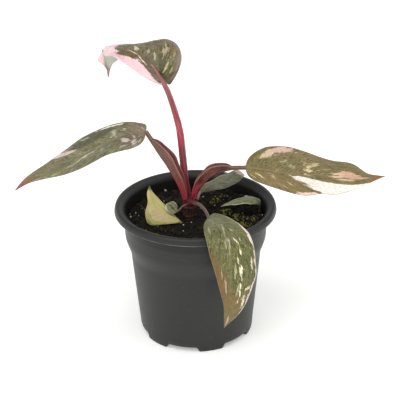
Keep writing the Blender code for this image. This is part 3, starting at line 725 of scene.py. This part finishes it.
def blade(name, node, midrib, left, right, top_skin, under_skin, rows=170, columns=34, crown=0.8,
          ripple=0.5, waves=3.0, phase=0.0, sinus=0.03, veins=9, rib=0.9, quilt=0.16, seed=0):
    """Leaf blade: a sheet lofted from its midrib to both margins, with veins in relief.

    A row joins both margins at s to the midrib at about ((s - sinus) / (1 - sinus)) ** 1.35,
    and to its base where s is less than sinus. At the share t of the row the sheet stands
    off it by crown*4*t*(1-t) + ripple*t**2*sin(2*pi*waves*s + phase + 1.1*side), where side
    is -1 on the left and 1 on the right, and this fades at both ends. Side veins are
    grooves at equal steps of s, as deep as quilt, and the tissue swells between them. The
    midrib is a shallow channel above and a rounded rib below. The sheet is 0.7 mm thick,
    thinning to 0.3 at its margin, and its two faces close round the edge.
    """
    s = np.linspace(0, 1, rows + 1)
    spine = curve(midrib, 0.006 * np.minimum(s / sinus, 1.0)
                  + 0.994 * (np.maximum(s - sinus, 0.0) / (1 - sinus)) ** 1.35)
    margins = [curve(left, s), curve(right, s)]
    width = unit(curve(left, [0.04])[0] - curve(right, [0.04])[0])
    base = np.exp(-((s / 0.02) ** 2))[:, None]
    tip_side = unit(margins[0][-4] - margins[1][-4])
    for k, sign in ((0, 1), (1, -1)):
        margins[k] = margins[k] * (1 - base) + (spine + sign * width * 1.2) * base
        margins[k][-1] = spine[-1] + sign * tip_side * 0.2
    t = np.linspace(0, 1, columns + 1) ** 0.92
    halves = [spine[:, None] + (edge - spine)[:, None] * t[None, :, None] for edge in margins]
    sheet = np.concatenate([halves[0][:, ::-1], halves[1][:, 1:]], axis=1)
    signed = np.concatenate([-t[::-1], t[1:]])[None, :]
    t = np.abs(signed)
    s = s[:, None]
    normal = unit(np.cross(np.gradient(sheet, axis=1), np.gradient(sheet, axis=0)))
    fade = np.minimum(1.0, np.minimum(6 * s, 5 * (1 - s)))
    swing = np.sin(2 * math.pi * waves * s + phase + 1.1 * np.sign(signed))
    far = np.linalg.norm(sheet - spine[:, None], axis=-1)
    between = np.abs((s * veins) % 1.0 - 0.5) * 2
    groove = np.exp(-(((1 - between) / 0.16) ** 2))
    body = np.clip(far / 2.0, 0, 1) * np.clip((1 - t) * 4, 0, 1) * np.clip(8 * (1 - s), 0, 1)
    offset = fade * (crown * 4 * t * (1 - t) + ripple * t**2 * swing)
    offset = offset + body * (quilt * (1 - between**2 - groove) - 0.05)
    offset = offset + body * 0.07 * swell(sheet, 5.0, seed)
    sheet = sheet + normal * offset[..., None]
    normal = unit(np.cross(np.gradient(sheet, axis=1), np.gradient(sheet, axis=0)))
    thick = 0.7 - 0.4 * t**3
    taper = (1 - 0.75 * s)
    channel = 0.28 * np.exp(-((far / (0.75 * rib)) ** 2)) * taper
    keel = 0.85 * rib * np.exp(-((far / (0.8 * rib)) ** 2)) * taper
    top = sheet + normal * (thick / 2 - channel)[..., None]
    under = sheet - normal * (thick / 2 + keel)[..., None]
    uv = np.stack(np.broadcast_arrays(signed, s), -1)
    edge_top = np.concatenate([top[0], top[1:, -1], top[-1, -2::-1], top[-2:0:-1, 0]])
    edge_under = np.concatenate([under[0], under[1:, -1], under[-1, -2::-1], under[-2:0:-1, 0]])
    edge_uv = np.concatenate([uv[0], uv[1:, -1], uv[-1, -2::-1], uv[-2:0:-1, 0]])
    grids = [(top, False, uv, 0), (under[:, ::-1], False, uv[:, ::-1], 1),
             (np.stack([edge_under, edge_top]), True, np.stack([edge_uv, edge_uv]), 0)]
    piece = surface(name, grids, [top_skin, under_skin], node)
    weld = piece.modifiers.new("closed_margin", "WELD")
    weld.merge_threshold = 0.00002


crimson = petiole_skin("crimson_waxy_petiole", "601a22", "9c2f42", "a4686a", "561a22", lines=4.5,
                       pale="d08a90")
round_stalk("petiole_of_top_leaf", "petiole_top",
            [(-4.6, 2.6, 97.3), (-5.6, 2.6, 102), (-6.7, 2.6, 108.8), (-7.5, 3.2, 119.2), (-8.4, 5, 129.1),
             (-9.8, 8, 142.1), (-13.2, 12.3, 154.5), (-18.9, 16.9, 169.4), (-23.9, 19.5, 176.6),
             (-27.4, 21.8, 181.5)],
            [2.4, 2.5, 2.4, 2.3, 2.1, 1.9, 1.6, 1.25], crimson, seed=31)
top_skin = leaf_skin(
    "olive_leaf_with_pink_half", (73.0, 24.0), ("6d6845", "7a7056", "554c2e", "8f8763", "beb28e"),
    [(-0.48, 0.75, -0.80, 0.56, 4.5, "f2a9b8", 0.8), (-1.0, 0.23, -1.0, 0.15, 3.0, "f2b4bf", 0.8),
     (-0.50, 0.61, -0.28, 0.43, 9.5, "67522c", 1.0), (-0.40, 0.37, -0.46, 0.30, 2.0, "6f5a38", 1.0),
     (-0.62, 0.60, -0.50, 0.42, 1.4, "fbeac4", 0.9), (-0.05, 0.50, -0.07, 0.40, 1.6, "f6ead2", 1.0),
     (-0.10, 0.39, -0.34, 0.28, 2.0, "f6e6cf", 1.0), (0.50, 0.29, 0.52, 0.17, 6.0, "4c4726", 0.8),
     (0.86, 0.39, 0.93, 0.24, 5.0, "7b664a", 0.7), (0.18, 0.50, 0.10, 0.46, 2.6, "cfc7b2", 0.9),
     (0.75, 0.385, 0.57, 0.32, 3.0, "b3a488", 0.9), (0.31, 0.42, 0.20, 0.355, 1.2, "aaa284", 1.0),
     (0.35, 0.35, 0.28, 0.275, 1.4, "b2aa8a", 1.0), (0.66, 0.262, 0.58, 0.19, 1.6, "b4ac74", 1.0),
     (0.80, 0.25, 0.79, 0.205, 1.3, "a39668", 1.0), (0.86, 0.335, 0.81, 0.30, 1.6, "a59a70", 0.9),
     # Painted sheen: the grey-lavender band along the far margin, (0.93, 0.20) to (0.98, 0.50), is the glint
     # of the waxy skin at a grazing angle.
     (0.93, 0.20, 0.98, 0.50, 2.4, "857d78", 0.6), (0.0, 0.0, 0.0, 0.16, 3.0, "8c4a48", 0.9),
     (0.10, 0.32, -0.02, 0.20, 2.4, "6b4a3e", 0.7), (-0.25, 0.22, -0.62, 0.18, 4.5, "6e4e3c", 0.7),
     (-0.97, 0.66, -0.97, 0.75, 5.0, "f6c9d2", 1.0)],
    [("f8d3da", [(-1.0, 0.0, -0.32), (-0.25, 1.0, -0.43)]), ("f4d6da", [(0.0, 1.0, -0.66)]),
     ("b2b6a6", [(-0.12, 1.0, -0.87)])],
    seed=1.0, rib="8c5850", edge="c8b0b2", tip=[("a08486", 0.9, 0.95), ("83505a", 0.95, 1.0)])
top_under = leaf_skin("grey_green_leaf_underside", (73.0, 24.0),
                      ("9a9a88", "a3a08c", "8a8878", "b0ac9a", "c0bcac"), seed=1.5, rib="a87c78",
                      tip=[("a07880", 0.8, 0.98)])
blade("blade_of_top_leaf", "blade_top",
      [(-27.6, 22, 181.7), (-36, 33, 185.2), (-45, 43, 185.9), (-54.4, 53, 184.3), (-61.5, 60.5, 179.2),
       (-61.2, 61, 173.6), (-59.6, 60, 168.8), (-58.7, 58.5, 160.6)],
      [(-28.9, 20.6, 181.4), (-25.9, 15.5, 177.9), (-23.1, 11.5, 175.3), (-21.1, 8.5, 173.2),
       (-24.9, 6, 175.6), (-32.3, 7, 180), (-39.6, 17, 181.3), (-50.5, 40, 179.3), (-52.0, 52, 174.7),
       (-55.4, 56, 170.5), (-57.3, 58, 165.8), (-58.7, 58.5, 160.6)],
      [(-25.3, 24.0, 180.9), (-23.2, 26.5, 175.8), (-21.2, 27.0, 171.9), (-19.1, 25.5, 169),
       (-16.7, 23.0, 167.9), (-13.1, 20.5, 172.8), (-8, 24.5, 184.8), (-11.2, 37, 190.6),
       (-19.3, 46, 191.5), (-31.8, 52, 186.6), (-50.5, 58, 183.3), (-62, 61.5, 177.8), (-65.7, 61.5, 171.1),
       (-61.9, 60, 168.8), (-59.7, 59, 165.5), (-58.7, 58.5, 160.6)],
      top_skin, top_under, waves=2.5, phase=0.4, sinus=0.11, seed=41)

# Left leaf: its petiole keeps an open russet sheath, and the long blade runs out to the
# left and back, olive with cream flecks and a few pink patches.


def sheathed_petiole(name, node, points, radii, level, wing, wing_end, material, seed):
    """Petiole with the open sheath of its lower part: two thin upright wings.

    A section is a round stalk, and a flange 0.7 mm thick at its root and 0.36 at its
    edge stands at each upper corner. Along the length s it grows to the height wing at
    the share 0.6 of wing_end, and it rounds off bluntly at wing_end, by the factor
    1 - q**4 of the share q of the second half. Its edge waves by 0.25 mm.
    """
    s = np.linspace(0, 1, 130)
    line = curve(points, s)
    radius = np.interp(s, np.linspace(0, 1, len(radii)), radii)
    side, upper = frames(line, level)[1:]
    q = np.clip(2 * s / wing_end - 1, 0.0, 1.0)
    height = wing * np.minimum(1.0, s / (0.6 * wing_end)) * (1 - q**4) + 0.25
    height = height + 0.25 * np.sin(s * 23.0 + seed) * np.clip(height - 1, 0, 1)
    low = np.linspace(math.pi, 2 * math.pi, 23)
    q = np.linspace(0, 1, 9)
    sections = []
    for sign in (1, -1):
        lean = unit(np.array([sign * 0.45, 1.0]))
        across = np.array([lean[1], -lean[0]]) * sign
        curl = sign * 0.12
        outer = []
        for share, turn in [(v, 1) for v in q] + [(v, -1) for v in q[::-1]]:
            half = 0.35 - 0.17 * share
            bend = lean[0] * share - curl * share**2
            x = sign * radius * 0.8 + bend * height + across[0] * half * turn
            y = radius * 0.6 + lean[1] * height * share + across[1] * half * turn
            outer.append(np.stack([x, y], -1))
        sections.append(outer if sign > 0 else outer[::-1])
    floor_of_groove = [np.stack([radius * v, radius * 0.66 + 0 * s], -1) for v in (0.45, 0.15, -0.15, -0.45)]
    arc = [np.stack([radius * math.cos(a), radius * math.sin(a)], -1) for a in low]
    section = np.stack(arc + sections[0] + floor_of_groove + sections[1], axis=1)
    tube = line[:, None] + side[:, None] * section[..., :1] + upper[:, None] * section[..., 1:]
    around = np.arange(tube.shape[1]) / tube.shape[1]
    uv = np.stack(np.broadcast_arrays(around[None, :], s[:, None]), -1)
    centre = tube.mean(axis=1)
    ends = [[centre[k] + (tube[k] - centre[k]) * 0.02] for k in (0, -1)]
    closed = np.concatenate([ends[0], tube, ends[1]])
    uv = np.concatenate([uv[:1], uv, uv[-1:]])
    surface(name, [(closed, True, uv, 0)], [material], node)


russet = petiole_skin("russet_sheathed_petiole", "b02c46", "6e3f36", "6a4c3e", "3a1a1a", lines=6.0,
                      pale="b07868", rims=(0.5, 0.849))
sheathed_petiole("petiole_of_left_leaf", "petiole_left",
                 [(-6.6, -2.6, 97.2), (-8.6, -3.6, 105.3), (-12.2, -3.2, 113.1), (-17.4, -0.6, 121.6),
                  (-23.5, 3.2, 129.3), (-32.0, 8.2, 141.2)],
                 [1.8, 2.0, 1.9, 1.8, 1.5, 1.4], (1.0, -0.3, 0.6), 5.4, 0.88, russet, seed=1)
left_skin = leaf_skin(
    "olive_leaf_with_cream_flecks", (114.0, 15.0), ("7c7a58", "8c8868", "605e3f", "a8a484", "c6c0a2"),
    # Painted shade: the dark band on the far half, (0.66, 0.30) to (0.62, 0.57), is the shadow in the blade's
    # fold.
    [(0.0, 0.0, 0.0, 0.14, 28.0, "857260", 0.55), (0.66, 0.30, 0.62, 0.57, 9.0, "55533a", 0.85),
     (-0.55, 0.07, -0.35, 0.25, 9.0, "6c5848", 0.6),
     (-0.50, 0.17, -0.30, 0.24, 3.2, "cec2b8", 0.95), (-0.46, 0.13, -0.78, 0.115, 2.4, "cabdb6", 0.95),
     (-0.36, 0.13, -0.20, 0.16, 1.4, "c2b4aa", 0.9), (-0.70, 0.18, -0.80, 0.21, 1.8, "beb2aa", 0.9),
     (-0.60, 0.075, -0.75, 0.09, 1.6, "c6bab2", 0.9), (-0.20, 0.08, -0.34, 0.10, 1.3, "bcaea4", 0.9),
     (0.30, 0.09, 0.12, 0.11, 1.6, "a88c7c", 0.9), (0.50, 0.07, 0.30, 0.05, 1.6, "c4ac9c", 0.9),
     (0.49, 0.28, 0.10, 0.325, 2.2, "c0bca8", 0.95), (0.30, 0.24, 0.45, 0.20, 1.4, "b8b09c", 0.9),
     (0.18, 0.345, 0.12, 0.36, 1.6, "c0bca8", 0.9), (0.84, 0.19, 0.88, 0.36, 1.7, "efe9de", 1.0),
     (0.76, 0.455, 0.80, 0.49, 1.8, "a6a692", 0.9), (0.88, 0.70, 0.48, 0.575, 3.8, "d6bfb6", 1.0),
     (0.95, 0.69, 0.82, 0.62, 2.4, "e6d2cc", 1.0), (-0.43, 0.525, -0.23, 0.465, 1.2, "ccc8a8", 0.95),
     (-0.05, 0.42, -0.12, 0.46, 1.3, "bcb89c", 0.9), (-0.42, 0.37, -0.52, 0.385, 1.4, "b4b096", 0.9),
     (-0.62, 0.60, -0.28, 0.50, 0.9, "ccc6a4", 0.95), (-0.97, 0.77, -0.50, 0.56, 1.0, "c6bc9c", 0.95),
     (-0.90, 0.90, -0.75, 0.78, 1.2, "c4a898", 0.8), (-0.7, 0.62, -0.6, 0.80, 5.0, "7f7a50", 0.6),
     (0.3, 0.68, 0.4, 0.85, 6.0, "826f48", 0.6)],
    seed=2.0, flecks=0.66, rib="8a8463", edge="8c8880", mottle=0.5,
    tip=[("94694c", 0.84, 0.92), ("96545a", 0.92, 0.955), ("85777a", 0.97, 1.0)])
left_under = leaf_skin("dull_olive_underside", (114.0, 15.0),
                       ("7d7b62", "8a8770", "6e6c52", "95917a", "b0ab98"), seed=2.5, rib="a08a7a",
                       tip=[("96545a", 0.85, 0.95)])
blade("blade_of_left_leaf", "blade_left",
      [(-31.8, 8, 140.9), (-49.4, 15, 135.2), (-66.1, 20, 124.6), (-84.8, 26, 112.5), (-105.6, 32, 98.7),
       (-125.7, 38, 85.2)],
      [(-32.1, 6, 140), (-32.4, 3, 138.8), (-34.8, 0, 136.2), (-39.9, -1, 133.6), (-48.8, 1, 130.5),
       (-57.3, 4, 126.5), (-66.7, 8, 119.9), (-79, 14, 111), (-89, 20, 104.8), (-100.3, 26, 99.7),
       (-118.5, 35, 90.4), (-125.7, 38, 85.2)],
      [(-31.2, 9, 141.9), (-31.3, 12, 143.6), (-37.7, 16, 144.3), (-54.4, 26, 139), (-66.5, 31, 132.5),
       (-77.5, 34, 125.4), (-89.9, 36, 115.5), (-101, 37, 106.9), (-120.1, 38, 92.2), (-125.7, 38, 85.2)],
      left_skin, left_under, ripple=0.1, waves=4.0, phase=1.0, veins=11, seed=42)

# Right leaf: a shorter sheathed petiole, and the broadest blade, olive over bronze with
# a nearly white sector along its lower margin.
sheathed_petiole("petiole_of_right_leaf", "petiole_right",
                 [(-1.0, -1.9, 97.55), (1.2, -2.4, 104.5), (5.9, -3, 111.2), (13.7, -4, 117.2),
                  (22.8, -5, 120.2), (33.0, -6, 121.0)],
                 [1.8, 2.0, 2.0, 1.8, 1.4, 1.3], (-0.7, 0.1, 1.0), 4.2, 0.80, russet, seed=2)
right_skin = leaf_skin(
    "olive_bronze_leaf_with_cream_sector", (95.0, 17.0), ("79713e", "86754a", "685c32", "a2925f", "d2c08e"),
    [(0.5, 0.1, 0.6, 0.45, 14.0, "8c763e", 0.4), (-0.8, 0.50, -0.85, 0.66, 5.0, "806a4c", 0.6),
     (-0.56, 0.195, -0.80, 0.29, 4.6, "d8bc9c", 1.0), (-0.80, 0.26, -0.90, 0.39, 4.4, "d4b4a4", 1.0),
     (-0.12, 0.77, 0.22, 0.87, 10.0, "d4aa92", 1.0), (0.10, 0.70, 0.05, 0.78, 3.4, "e8cfa6", 1.0),
     (-0.10, 0.71, -0.12, 0.77, 2.2, "dabd98", 1.0), (0.0, 0.76, 0.1, 0.84, 2.6, "ddbba6", 0.9),
     (0.30, 0.715, 0.42, 0.79, 3.0, "d6b593", 1.0), (0.38, 0.14, 0.63, 0.185, 1.4, "dccb98", 1.0),
     (0.22, 0.275, 0.49, 0.28, 1.4, "d0c097", 1.0), (0.70, 0.30, 0.80, 0.33, 1.3, "cdb994", 0.9),
     (0.52, 0.36, 0.62, 0.38, 1.2, "c8b68a", 0.9), (0.62, 0.09, 0.72, 0.12, 1.2, "c4b488", 0.9),
     (-0.33, 0.54, -0.60, 0.60, 1.8, "dcc99c", 1.0),
     (-0.38, 0.505, -0.52, 0.52, 1.0, "c8b58a", 0.9), (-0.23, 0.53, -0.18, 0.57, 2.2, "e0cd9e", 1.0),
     (-0.05, 0.535, 0.06, 0.57, 1.4, "dccb9c", 1.0), (-0.34, 0.35, -0.46, 0.385, 1.1, "a39d72", 0.9),
     (-0.28, 0.42, -0.28, 0.44, 1.8, "a39d78", 0.9), (-0.20, 0.61, -0.38, 0.68, 1.0, "b39b68", 0.9),
     (0.96, 0.38, 0.98, 0.50, 3.0, "ecd0c2", 1.0), (0.90, 0.50, 0.97, 0.525, 2.0, "80603e", 1.0),
     (0.9, 0.88, 0.95, 0.97, 4.0, "8a6230", 0.8)],
    [("fdf3ea", [(-0.10, 1.0, -0.42), (0.45, -1.0, 0.44), (1.0, 0.0, -0.10)])],
    seed=3.0, flecks=0.66, rib="928158", edge="6e5648", mottle=0.5,
    tip=[("9a6238", 0.9, 0.97), ("5c4c44", 0.985, 1.0)])
right_under = leaf_skin("dull_bronze_underside", (95.0, 17.0),
                        ("7c7656", "8a7c5c", "6e6446", "968c70", "b0a688"), seed=3.5, rib="a08a7a")
blade("blade_of_right_leaf", "blade_right",
      [(32.6, -6, 121.1), (45.7, -5, 118.7), (62.9, -3, 114.4), (82.2, -1, 112.5), (96.9, 1, 110.7),
       (110.5, 3, 108.9), (125.7, 5, 108.6)],
      [(32.3, -5, 121.4), (36.4, 4, 124.6), (46.1, 10, 128.4), (55.1, 14, 127.2), (74.4, 17, 121.7),
       (92.9, 15, 115.3), (105.6, 12, 114.5), (115.4, 7, 109.8), (125.7, 5, 108.6)],
      [(32.2, -7, 120.6), (34.6, -10, 117.1), (45.5, -18, 114.1), (62.4, -22, 110), (71.6, -22, 108.5),
       (81.6, -20, 108.2), (89.5, -18, 106), (97, -14, 106), (109.5, -6, 106.6), (125.7, 5, 108.6)],
      right_skin, right_under, waves=3.0, phase=2.0, seed=43)

# Front leaf: a short dull pink petiole bends over the mix, and the blade lies over the
# rim and hangs down the pot's side.
dull_pink = petiole_skin("dull_pink_petiole", "5c4840", "6e5850", "6c5c50", "46302c", lines=4.0,
                         pale="948074")
round_stalk("petiole_of_front_leaf", "petiole_front",
            [(-0.9, -4.3, 94.6), (2.6, -8.6, 95.6), (5.8, -14.5, 95.2), (8.6, -25.2, 94.6)],
            [1.5, 1.2, 1.1, 1.15], dull_pink, rings=70, seed=33)
front_skin = leaf_skin(
    "green_leaf_with_cream_streaks", (98.0, 15.0), ("686a3a", "747447", "545529", "adac5c", "ddd5ac"),
    [(0.3, 0.0, 0.2, 0.22, 22.0, "737658", 0.6), (0.92, 0.42, 0.80, 0.80, 7.5, "7c5c2c", 0.7),
     (0.6, 0.62, 0.5, 0.86, 9.0, "7c5f30", 0.7), (0.0, 0.86, 0.0, 1.0, 30.0, "84683a", 0.7),
     (0.22, 0.13, 0.24, 0.15, 1.7, "b8bda0", 0.9), (0.16, 0.20, 0.17, 0.22, 1.2, "b0b598", 0.9),
     (0.63, 0.235, 0.63, 0.29, 2.2, "a2a584", 0.9), (-0.16, 0.27, 0.03, 0.45, 0.9, "b4ad98", 0.9),
     (0.06, 0.46, -0.07, 0.485, 1.5, "bab096", 0.9), (-0.06, 0.485, -0.02, 0.556, 0.8, "beb298", 0.9),
     (0.10, 0.45, 0.10, 0.51, 0.7, "b0a992", 0.9), (-0.31, 0.35, -0.38, 0.372, 1.1, "e0d8b4", 1.0),
     (-0.27, 0.44, -0.41, 0.485, 1.0, "f6eed0", 1.0), (-0.43, 0.49, -0.45, 0.52, 1.2, "f6eed0", 1.0),
     (-0.51, 0.43, -0.52, 0.44, 0.9, "e6ddbd", 1.0), (-0.28, 0.565, -0.31, 0.595, 0.8, "f2eac8", 1.0),
     (-0.37, 0.61, -0.44, 0.665, 1.9, "fdf6d8", 1.0), (-0.43, 0.655, -0.50, 0.68, 1.2, "fdf6d8", 1.0),
     (-0.19, 0.61, -0.19, 0.685, 1.2, "bcb87c", 0.9), (-0.82, 0.525, -0.82, 0.60, 0.8, "e6dcb8", 1.0),
     (-0.43, 0.70, -0.55, 0.775, 1.1, "fdf5d2", 1.0), (-0.36, 0.735, -0.40, 0.77, 0.9, "d6cda4", 1.0),
     (-0.70, 0.725, -0.92, 0.69, 1.3, "ecdfba", 1.0), (0.46, 0.67, 0.42, 0.78, 2.2, "b69e80", 1.0),
     (-0.72, 0.77, -0.86, 0.82, 1.4, "ece2c8", 1.0), (-0.51, 0.80, -0.55, 0.82, 1.1, "e0d0a6", 1.0),
     (0.60, 0.59, 0.62, 0.63, 1.6, "b0a076", 0.9), (-0.30, 0.935, -0.40, 0.97, 4.0, "cdb0a0", 0.9),
     (-1.0, 0.12, -0.98, 0.30, 1.6, "e4dfc8", 1.0), (-0.98, 0.27, -0.98, 0.44, 3.2, "e9dacd", 1.0),
     (-1.0, 0.42, -1.0, 0.95, 1.7, "e6d4c6", 1.0)],
    seed=4.0, flecks=0.69, rib="80805a", edge="a8957f", lean=20.0, mottle=0.55)
front_under = leaf_skin("pale_green_underside", (98.0, 15.0),
                        ("84856a", "8e8e70", "76775a", "9c9c80", "b8b498"), seed=4.5, rib="a09080")
blade("blade_of_front_leaf", "blade_front",
      [(8.5, -24.9, 94.5), (13.1, -37.1, 96.2), (17.3, -49.1, 96.6), (19.9, -58.3, 94.4), (21.3, -61.5, 85.4),
       (21.9, -62.6, 69.8), (19.9, -62.5, 50.5), (17.9, -61, 33.4)],
      [(9.2, -23.5, 94.5), (11.1, -20.7, 95), (17.3, -24.4, 96), (22.7, -30.6, 96), (29.4, -39.8, 96),
       (33.8, -48.3, 95), (36.3, -56, 90.5), (37.7, -58, 79.3), (38.1, -59, 70.5), (36.1, -60, 64),
       (28.3, -61, 45.5), (17.9, -61, 33.4)],
      [(7.8, -26.4, 94.5), (5.9, -33.6, 95), (5.4, -45.6, 95.5), (6.5, -55.8, 94.5), (9.1, -60, 84.6),
       (11.8, -61, 75), (14.5, -61, 64), (17.2, -61, 51.2), (17.9, -61, 33.4)],
      front_skin, front_under, crown=0.5, ripple=0.3, waves=3.0, phase=0.0, quilt=0.07, seed=44)

# Small leaf behind the right petiole: grey-green with a pinkish tip, on a pale stalk that
# grows from the stump's side.
pale_stalk = petiole_skin("pale_stalk", "6a5c4e", "85786a", "8a8070", "5a463c", lines=5.0, pale="a09484")
round_stalk("petiole_of_back_leaf", "petiole_back", [(1.2, 3.3, 93.3), (1.9, 5.8, 94.7), (3.4, 9.3, 96.25)],
            [1.1, 1.0, 0.9], pale_stalk, rings=40, sides=28, seed=34)
grey_skin = leaf_skin(
    "grey_green_young_leaf", (33.0, 8.0), ("5d624a", "6c6f57", "50533c", "84866e", "9c9c84"),
    [(-0.8, 0.88, -0.4, 1.0, 6.0, "b09c90", 0.9), (-0.9, 0.3, -0.9, 0.8, 3.0, "7d7d68", 0.7)],
    seed=5.0, rib="84866c", veins=6.0, rib_width=0.6, tip=[("b8a496", 0.9, 1.0)])
blade("blade_of_back_leaf", "blade_back",
      [(3.3, 9.2, 96.2), (10.6, 12, 100.2), (20.7, 15, 103.5), (33.5, 18, 104.5)],
      [(2.8, 10, 96.4), (5.2, 14, 98.9), (13.7, 18, 102.1), (22.4, 20, 105.4), (29.3, 20, 107.2),
       (33.5, 18, 104.5)],
      [(3.5, 8, 95.8), (9.3, 8, 97.6), (15.7, 9, 98), (23.9, 11, 99.7), (29.9, 14, 102), (33.5, 18, 104.5)],
      grey_skin, grey_skin, rows=90, columns=22, crown=0.4, ripple=0.3, veins=6, rib=0.55, seed=45)

# Young leaf at the right wall: it comes out of the mix on a dry stalk and arches over
# with its pale lower edge to the viewer.
twig = petiole_skin("dry_brown_stalk", "3a3222", "4f4632", "6a6048", "241c12", 0.6, 5.0, pale="6e644c")
round_stalk("stalk_of_arched_leaf", "stalk_arched",
            [(43.2, 7.4, 70), (43.2, 7.4, 80), (43.3, 6.8, 85), (43.15, 5.6, 87.5)], [0.9, 0.9, 0.8, 0.7],
            twig, rings=60, sides=24, seed=35)
arched_skin = leaf_skin(
    "grey_green_arched_leaf", (30.0, 7.0), ("687242", "7a8452", "586138", "929a68", "aab084"),
    [(-1.0, 0.25, -1.0, 0.95, 1.0, "cdd0b6", 0.9), (-0.5, 0.8, -0.3, 0.95, 4.0, "8c944e", 0.6)],
    seed=6.0, rib="8c946c", edge="a0a684", veins=6.0, rib_width=0.5)
blade("blade_of_arched_leaf", "blade_arched",
      [(43.1, 5.3, 87.9), (41.2, 4, 91), (34.5, 3, 93.5), (25.8, 2, 92.2), (16.9, 0, 89.9)],
      [(42.6, 4, 88), (41, 0, 91.2), (38.7, -2, 92.5), (33.1, -3, 93.2), (26.2, -3, 92.6), (20.7, -2, 91.6),
       (16.9, 0, 89.9)],
      [(44, 6, 88.5), (43.4, 9, 90.4), (40.1, 11, 91.3), (35, 11, 91.8), (29.4, 9, 91.6), (22.3, 5, 90.4),
       (16.9, 0, 89.9)],
      arched_skin, arched_skin, rows=90, columns=22, crown=0.4, ripple=0.2, veins=6, rib=0.5, seed=46)

# Cream leaf at the left: without green it has faded to yellow, and it leans on the mix
# with the fold of its upper edge to the right.
green_stalk = petiole_skin("green_stalk", "4a4a20", "6a6a34", "808040", "3a3818", lines=5.0, pale="8c8c50")
round_stalk("stalk_of_cream_leaf", "stalk_cream",
            [(-8.6, -10.2, 72), (-8.6, -10.2, 78), (-8.8, -10.2, 81.6), (-9.8, -10.1, 83.3)],
            [1.2, 1.2, 1.1, 0.9], green_stalk, rings=50, sides=24, seed=36)
cream_skin = leaf_skin(
    "cream_yellow_leaf", (34.0, 10.0), ("bcb468", "c9bc84", "b0a462", "ccc190", "d6cb9c"),
    [(-0.30, 0.56, -0.30, 0.30, 5.0, "cdac8c", 0.55), (0.2, 0.30, 0.15, 0.55, 2.0, "d2b294", 0.5),
     (-0.95, 0.60, -0.80, 0.24, 4.5, "9c9c4c", 0.5), (-0.98, 0.44, -0.90, 0.20, 2.2, "74732f", 0.7),
     (0.60, 0.25, 0.50, 0.80, 2.4, "d4cb96", 0.6)],
    seed=7.0, flecks=0.74, rib="b4a878", edge="c4b888", veins=14.0, rib_width=0.5, lean=8.0, mottle=0.06,
    tip=[("9a984e", 0.12, 0.0), ("68653b", 0.90, 0.96), ("3a381e", 0.97, 1.0)])
blade("blade_of_cream_leaf", "blade_cream",
      [(-10.4, -10, 83.7), (-16.2, -9, 87), (-23.4, -6, 91.5), (-28.3, -2, 97.7), (-30.4, 3, 104.2)],
      [(-11.6, -10.9, 83.4), (-20.2, -12.1, 83.2), (-31.1, -12, 83.6), (-33.1, -9, 90.5),
       (-31.5, -6, 95.5), (-31.8, 0, 101.5), (-30.4, 3, 104.2)],
      [(-9.6, -9, 83.6), (-14.5, -4, 86.4), (-19, -2, 91.1), (-24.5, 0, 96.4), (-29.6, 3, 101.9),
       (-30.4, 3, 104.2)],
      cream_skin, cream_skin, rows=90, columns=24, crown=0.4, ripple=0.0, veins=14, rib=0.3, quilt=0.05,
      seed=47)

# Round juvenile leaf: pale green, folded along its midrib, on a thread of a stalk that
# arches over from the stem.
thread = petiole_skin("thread_stalk", "5a3630", "6a4a40", "8a8466", "3a221e", lines=3.0, pale="8a7060")
round_stalk("stalk_of_round_leaf", "stalk_round",
            [(-4.6, -5.2, 94.6), (-6.4, -7.8, 95.3), (-8.5, -8.8, 94.5), (-10.7, -8.8, 92),
             (-12.0, -8.15, 90.4)],
            [0.6, 0.6, 0.55, 0.5], thread, rings=60, sides=20, seed=37)
round_skin = leaf_skin(
    "pale_green_juvenile_leaf", (9.0, 4.5), ("7c7e5a", "8a8c68", "62623e", "a0a084", "b4b49a"),
    [(0.0, 0.1, 0.0, 0.85, 1.1, "34321c", 1.0), (-1.0, 0.1, -1.0, 0.9, 1.0, "c6c8ae", 1.0),
     (1.0, 0.1, 1.0, 0.9, 1.0, "c6c8ae", 1.0)],
    seed=8.0, rib="35331e", edge="c4c4a4", veins=4.0, rib_width=0.45)
blade("blade_of_round_leaf", "blade_round",
      [(-12.6, -8, 90), (-15.1, -6, 92.1), (-18.1, -4, 95)],
      [(-12.8, -9, 89.9), (-16.5, -9, 89.6), (-19.3, -8, 91.7), (-19.6, -6, 94.4), (-18.1, -4, 95)],
      [(-12.2, -7, 90), (-12, -4, 92.6), (-14.5, -2, 94.9), (-18.1, -4, 95)],
      round_skin, round_skin, rows=60, columns=20, crown=0.3, ripple=0.0, veins=4, rib=0.3, quilt=0.08,
      seed=48)
